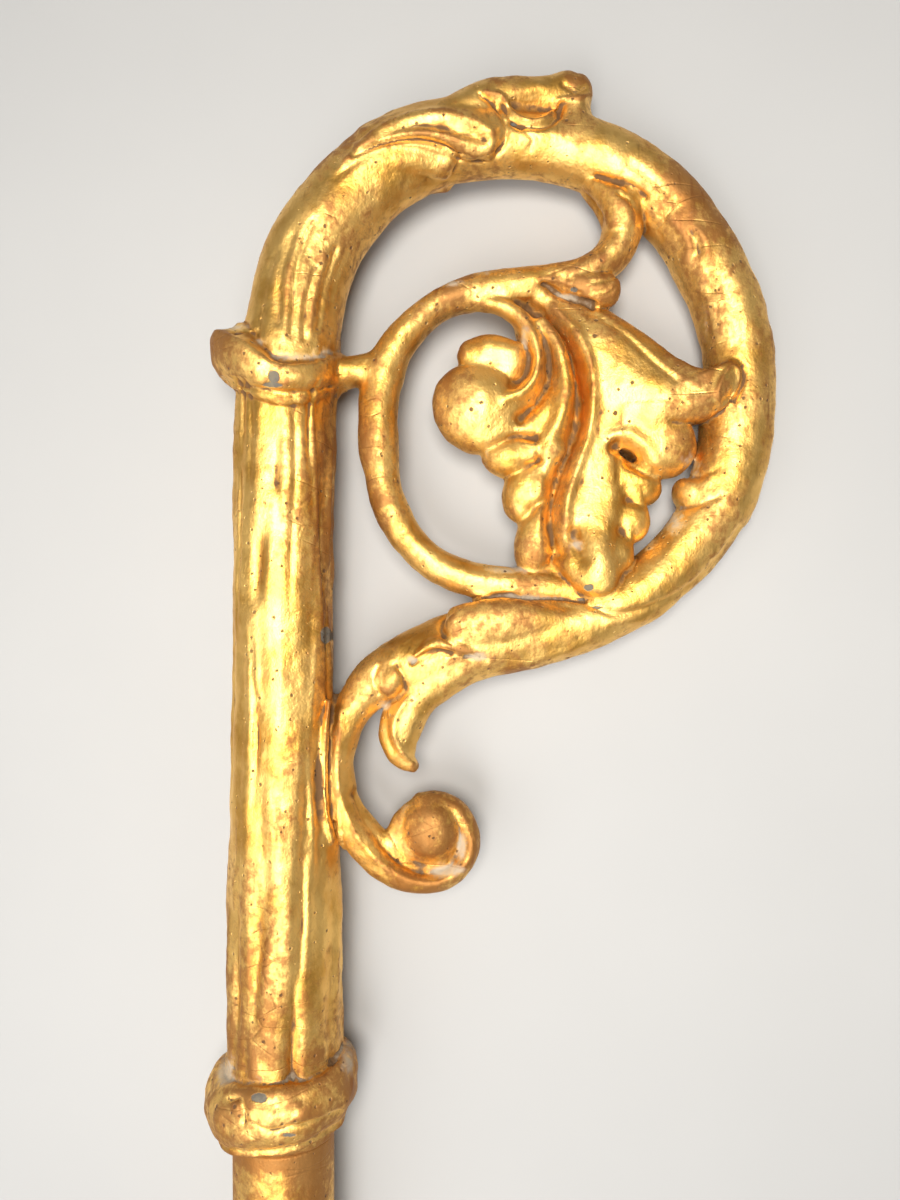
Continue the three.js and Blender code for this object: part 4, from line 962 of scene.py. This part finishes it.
class Tree:
    """A material's nodes, made one by one: type, settings, then socket values or links."""

    def __init__(self, name):
        self.material = bpy.data.materials.new(name)
        self.material.use_nodes = True
        self.nodes = self.material.node_tree.nodes
        self.links = self.material.node_tree.links
        self.nodes.clear()

    def node(self, kind, settings=None, values=(), output=0):
        made = self.nodes.new(kind)
        for key, value in (settings or {}).items():
            setattr(made, key, value)
        sockets = values.items() if isinstance(values, dict) else enumerate(values)
        for key, value in sockets:
            if isinstance(value, Wire):
                self.links.new(value.socket, made.inputs[key])
            else:
                made.inputs[key].default_value = value
        return Wire(self, made.outputs[output]) if len(made.outputs) else None

    def value(self, name):
        """A value stored on the vertices."""
        return self.node("ShaderNodeAttribute", {"attribute_name": name}, (), "Fac")

    def place(self, stretch=(1, 1, 1)):
        """Object coordinates in metres, stretched."""
        coords = self.node("ShaderNodeTexCoord", None, (), "Object")
        return self.node("ShaderNodeVectorMath", {"operation": "MULTIPLY"}, [coords, stretch])

    def noise(self, vector, scale, detail=3.0, rough=0.55):
        values = {"Vector": vector, "Scale": scale, "Detail": detail, "Roughness": rough}
        return self.node("ShaderNodeTexNoise", None, values, "Fac")

    def cells(self, vector, scale, feature):
        """The distance to the nearest cell's middle or edge."""
        values = {"Vector": vector, "Scale": scale, "Randomness": 1.0}
        return self.node("ShaderNodeTexVoronoi", {"feature": feature}, values, "Distance")

    def mix(self, factor, first, second):
        """A colour between two, by a factor."""
        made = self.nodes.new("ShaderNodeMix")
        made.data_type = "RGBA"
        for key, value in (("Factor", factor), ("A", first), ("B", second)):
            socket = [s for s in made.inputs if s.name == key and s.enabled][0]
            if isinstance(value, Wire):
                self.links.new(value.socket, socket)
            else:
                socket.default_value = value if key == "Factor" else (*value, 1.0)
        return Wire(self, [s for s in made.outputs if s.enabled][0])


# Colours of the finish, linear
BRIGHT_GOLD = (0.94, 0.60, 0.18)
DEEP_GOLD = (0.72, 0.385, 0.075)
# painted shade: amber laid into the folds and wide hollows
AMBER_FOLD_SHADE = (0.52, 0.235, 0.042)
RED_GROUND = (0.25, 0.082, 0.018)
# dark brown for real pits and specks of dirt, and for painted shade in the creases
DARK_GRIME_AND_SHADE = (0.07, 0.032, 0.011)
GESSO_DUST = (0.42, 0.355, 0.26)
GREY_CHIP = (0.095, 0.10, 0.09)
FLOOR_GREY = (0.40, 0.396, 0.386)


def gilding(name, wear):
    """Old water gilding: leaf over a red-brown ground, rubbed thin on ridges, with painted shade in
    its folds and creases and specks of dirt.

    wear is the share of the ground that shows through, from 0 to 1. Each cover is laid over the
    ones before it.
    """
    t = Tree(name)
    here = t.place()
    long_grain = t.place((0.35, 1.0, 1.0))
    crevice = t.value("crevice")
    hollow = t.value("hollow")
    cloud = t.noise(here, 62.0, 4.0, 0.6)
    speck = t.noise(here, 430.0, 3.0, 0.62)
    patch = t.noise(long_grain, 36.0, 5.0, 0.66)
    fine_grain = t.noise(here, 1500.0, 2.0, 0.5)
    gold = t.mix(cloud.clamp(0.34, 0.62), DEEP_GOLD, BRIGHT_GOLD)
    rubbed = (patch + 0.5 * speck - 0.35 * crevice).clamp(0.77 - 0.14 * wear, 1.0 - 0.14 * wear)
    streak = t.noise(t.place((0.1, 1.0, 1.0)), 290.0, 3.0, 0.6)
    streak = (streak + 0.3 * patch).clamp(0.72, 0.92)
    # painted shade: where the surface lies deep in hollows and creases, the gold turns amber
    folds = (hollow * 0.8 + 0.8 * crevice + 0.3 * cloud).clamp(0.26, 0.85)
    # painted shade in the creases, mottled with specks of real dirt
    grime_and_crease_shade = (crevice * 2.6 + 0.9 * speck).clamp(0.88, 1.5)
    dust = (0.8 * t.value("dust") + 0.8 * patch + 0.9 * speck + 0.4 * crevice).clamp(1.1, 1.75)
    chip = (t.value("chip") + 0.5 * speck).clamp(0.82, 0.98)
    pits = 1.0 - t.cells(here, 330.0, "F1")
    pits = (pits + 0.5 * speck + 0.5 * cloud).clamp(1.36, 1.5)
    colour = gold
    # the covers: wear and grain, painted shade in the folds, painted shade in the creases with dirt
    # specks, dust, chips and pits
    for cover, strength, paint in [
            (rubbed, 0.8, RED_GROUND), (streak, 0.6, RED_GROUND), (folds, 0.85, AMBER_FOLD_SHADE),
            (grime_and_crease_shade, 0.9, DARK_GRIME_AND_SHADE), (dust, 0.8, GESSO_DUST), (chip, 0.9, GREY_CHIP),
            (pits, 0.85, DARK_GRIME_AND_SHADE)]:
        colour = t.mix(cover * strength, colour, paint)
    matt = dust.most(grime_and_crease_shade).most(pits).most(chip)
    metal = 1.0 - matt * 0.9 - rubbed * 0.25
    rough = 0.36 + 0.16 * cloud + 0.36 * matt + 0.12 * rubbed + 0.08 * fine_grain
    crack = 1.0 - t.cells(t.place((1.0, 0.4, 0.4)), 95.0, "DISTANCE_TO_EDGE").clamp(0.0, 0.03)
    relief = (0.32 * t.noise(long_grain, 210.0, 4.0, 0.6) + 0.34 * speck + 0.07 * fine_grain
              - 0.16 * crack * patch.clamp(0.5, 0.6) - 0.6 * pits - 0.3 * chip)
    bump = t.node("ShaderNodeBump", None,
                  {"Strength": 0.6, "Distance": 0.0011, "Height": relief}, "Normal")
    shader = t.node("ShaderNodeBsdfPrincipled", None,
                    {"Base Color": colour, "Metallic": metal, "Roughness": rough,
                     "Normal": bump, "Specular IOR Level": 0.5}, "BSDF")
    t.node("ShaderNodeOutputMaterial", None, {"Surface": shader})
    return t.material


def pale_paint():
    """The floor's plain pale paint, a touch uneven."""
    t = Tree("pale_floor")
    tone = t.noise(t.place(), 9.0, 3.0).clamp(0.2, 0.8)
    paint = t.mix(tone, FLOOR_GREY, tuple(0.96 * c for c in FLOOR_GREY))
    shader = t.node("ShaderNodeBsdfPrincipled", None, {"Base Color": paint, "Roughness": 0.7},
                    "BSDF")
    t.node("ShaderNodeOutputMaterial", None, {"Surface": shader})
    return t.material


# The scene

def stage_floor():
    """A plain pale floor just under the part."""
    size = 6.0  # half its width, in metres
    low = CAD_BOX[0][2]
    mesh = bpy.data.meshes.new("floor")
    corners = [(-size, -size, low), (size, -size, low), (size, size, low), (-size, size, low)]
    mesh.from_pydata(corners, [], [(0, 1, 2, 3)])
    floor = bpy.data.objects.new("floor", mesh)
    bpy.context.scene.collection.objects.link(floor)
    mesh.materials.append(pale_paint())


def area_light(name, place, aim, size, watts, tint=(1, 1, 1), length=None):
    data = bpy.data.lights.new(name, "AREA")
    data.shape = "ELLIPSE" if length else "DISK"
    data.size = length or size
    data.size_y = size
    data.energy = watts
    data.color = tint
    light = bpy.data.objects.new(name, data)
    light.location = place
    light.rotation_euler = (Vector(aim) - Vector(place)).to_track_quat("-Z", "Y").to_euler()
    bpy.context.scene.collection.objects.link(light)


def light_scene():
    world = bpy.data.worlds.new("studio")
    world.use_nodes = True
    world.node_tree.nodes["Background"].inputs["Color"].default_value = (0.9, 0.93, 1.0, 1)
    world.node_tree.nodes["Background"].inputs["Strength"].default_value = 0.2
    bpy.context.scene.world = world
    bpy.context.scene.view_settings.view_transform = "Standard"
    aim = part_point(50, 150, 0)
    area_light("key", part_point(20, 200, 600), aim, 0.25, 4.9, (1.0, 0.96, 0.9))
    area_light("fill", part_point(-380, -120, 500), aim, 0.6, 1.9)
    middle = CAD_BOX[1][0] / 2
    area_light("strip", (middle - 0.2, 0.1, 1.2), (middle - 0.2, 0, 0), 0.5, 15, length=1.4)


head = carve_head()
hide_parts("crook_head")
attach(head, "root")
head.data.materials.append(gilding("old_gilding", 0.35))

pole = turn_staff()
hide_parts("staff")
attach(pole, "root")
pole.data.materials.append(gilding("worn_gilding", 0.6))

stage_floor()
light_scene()
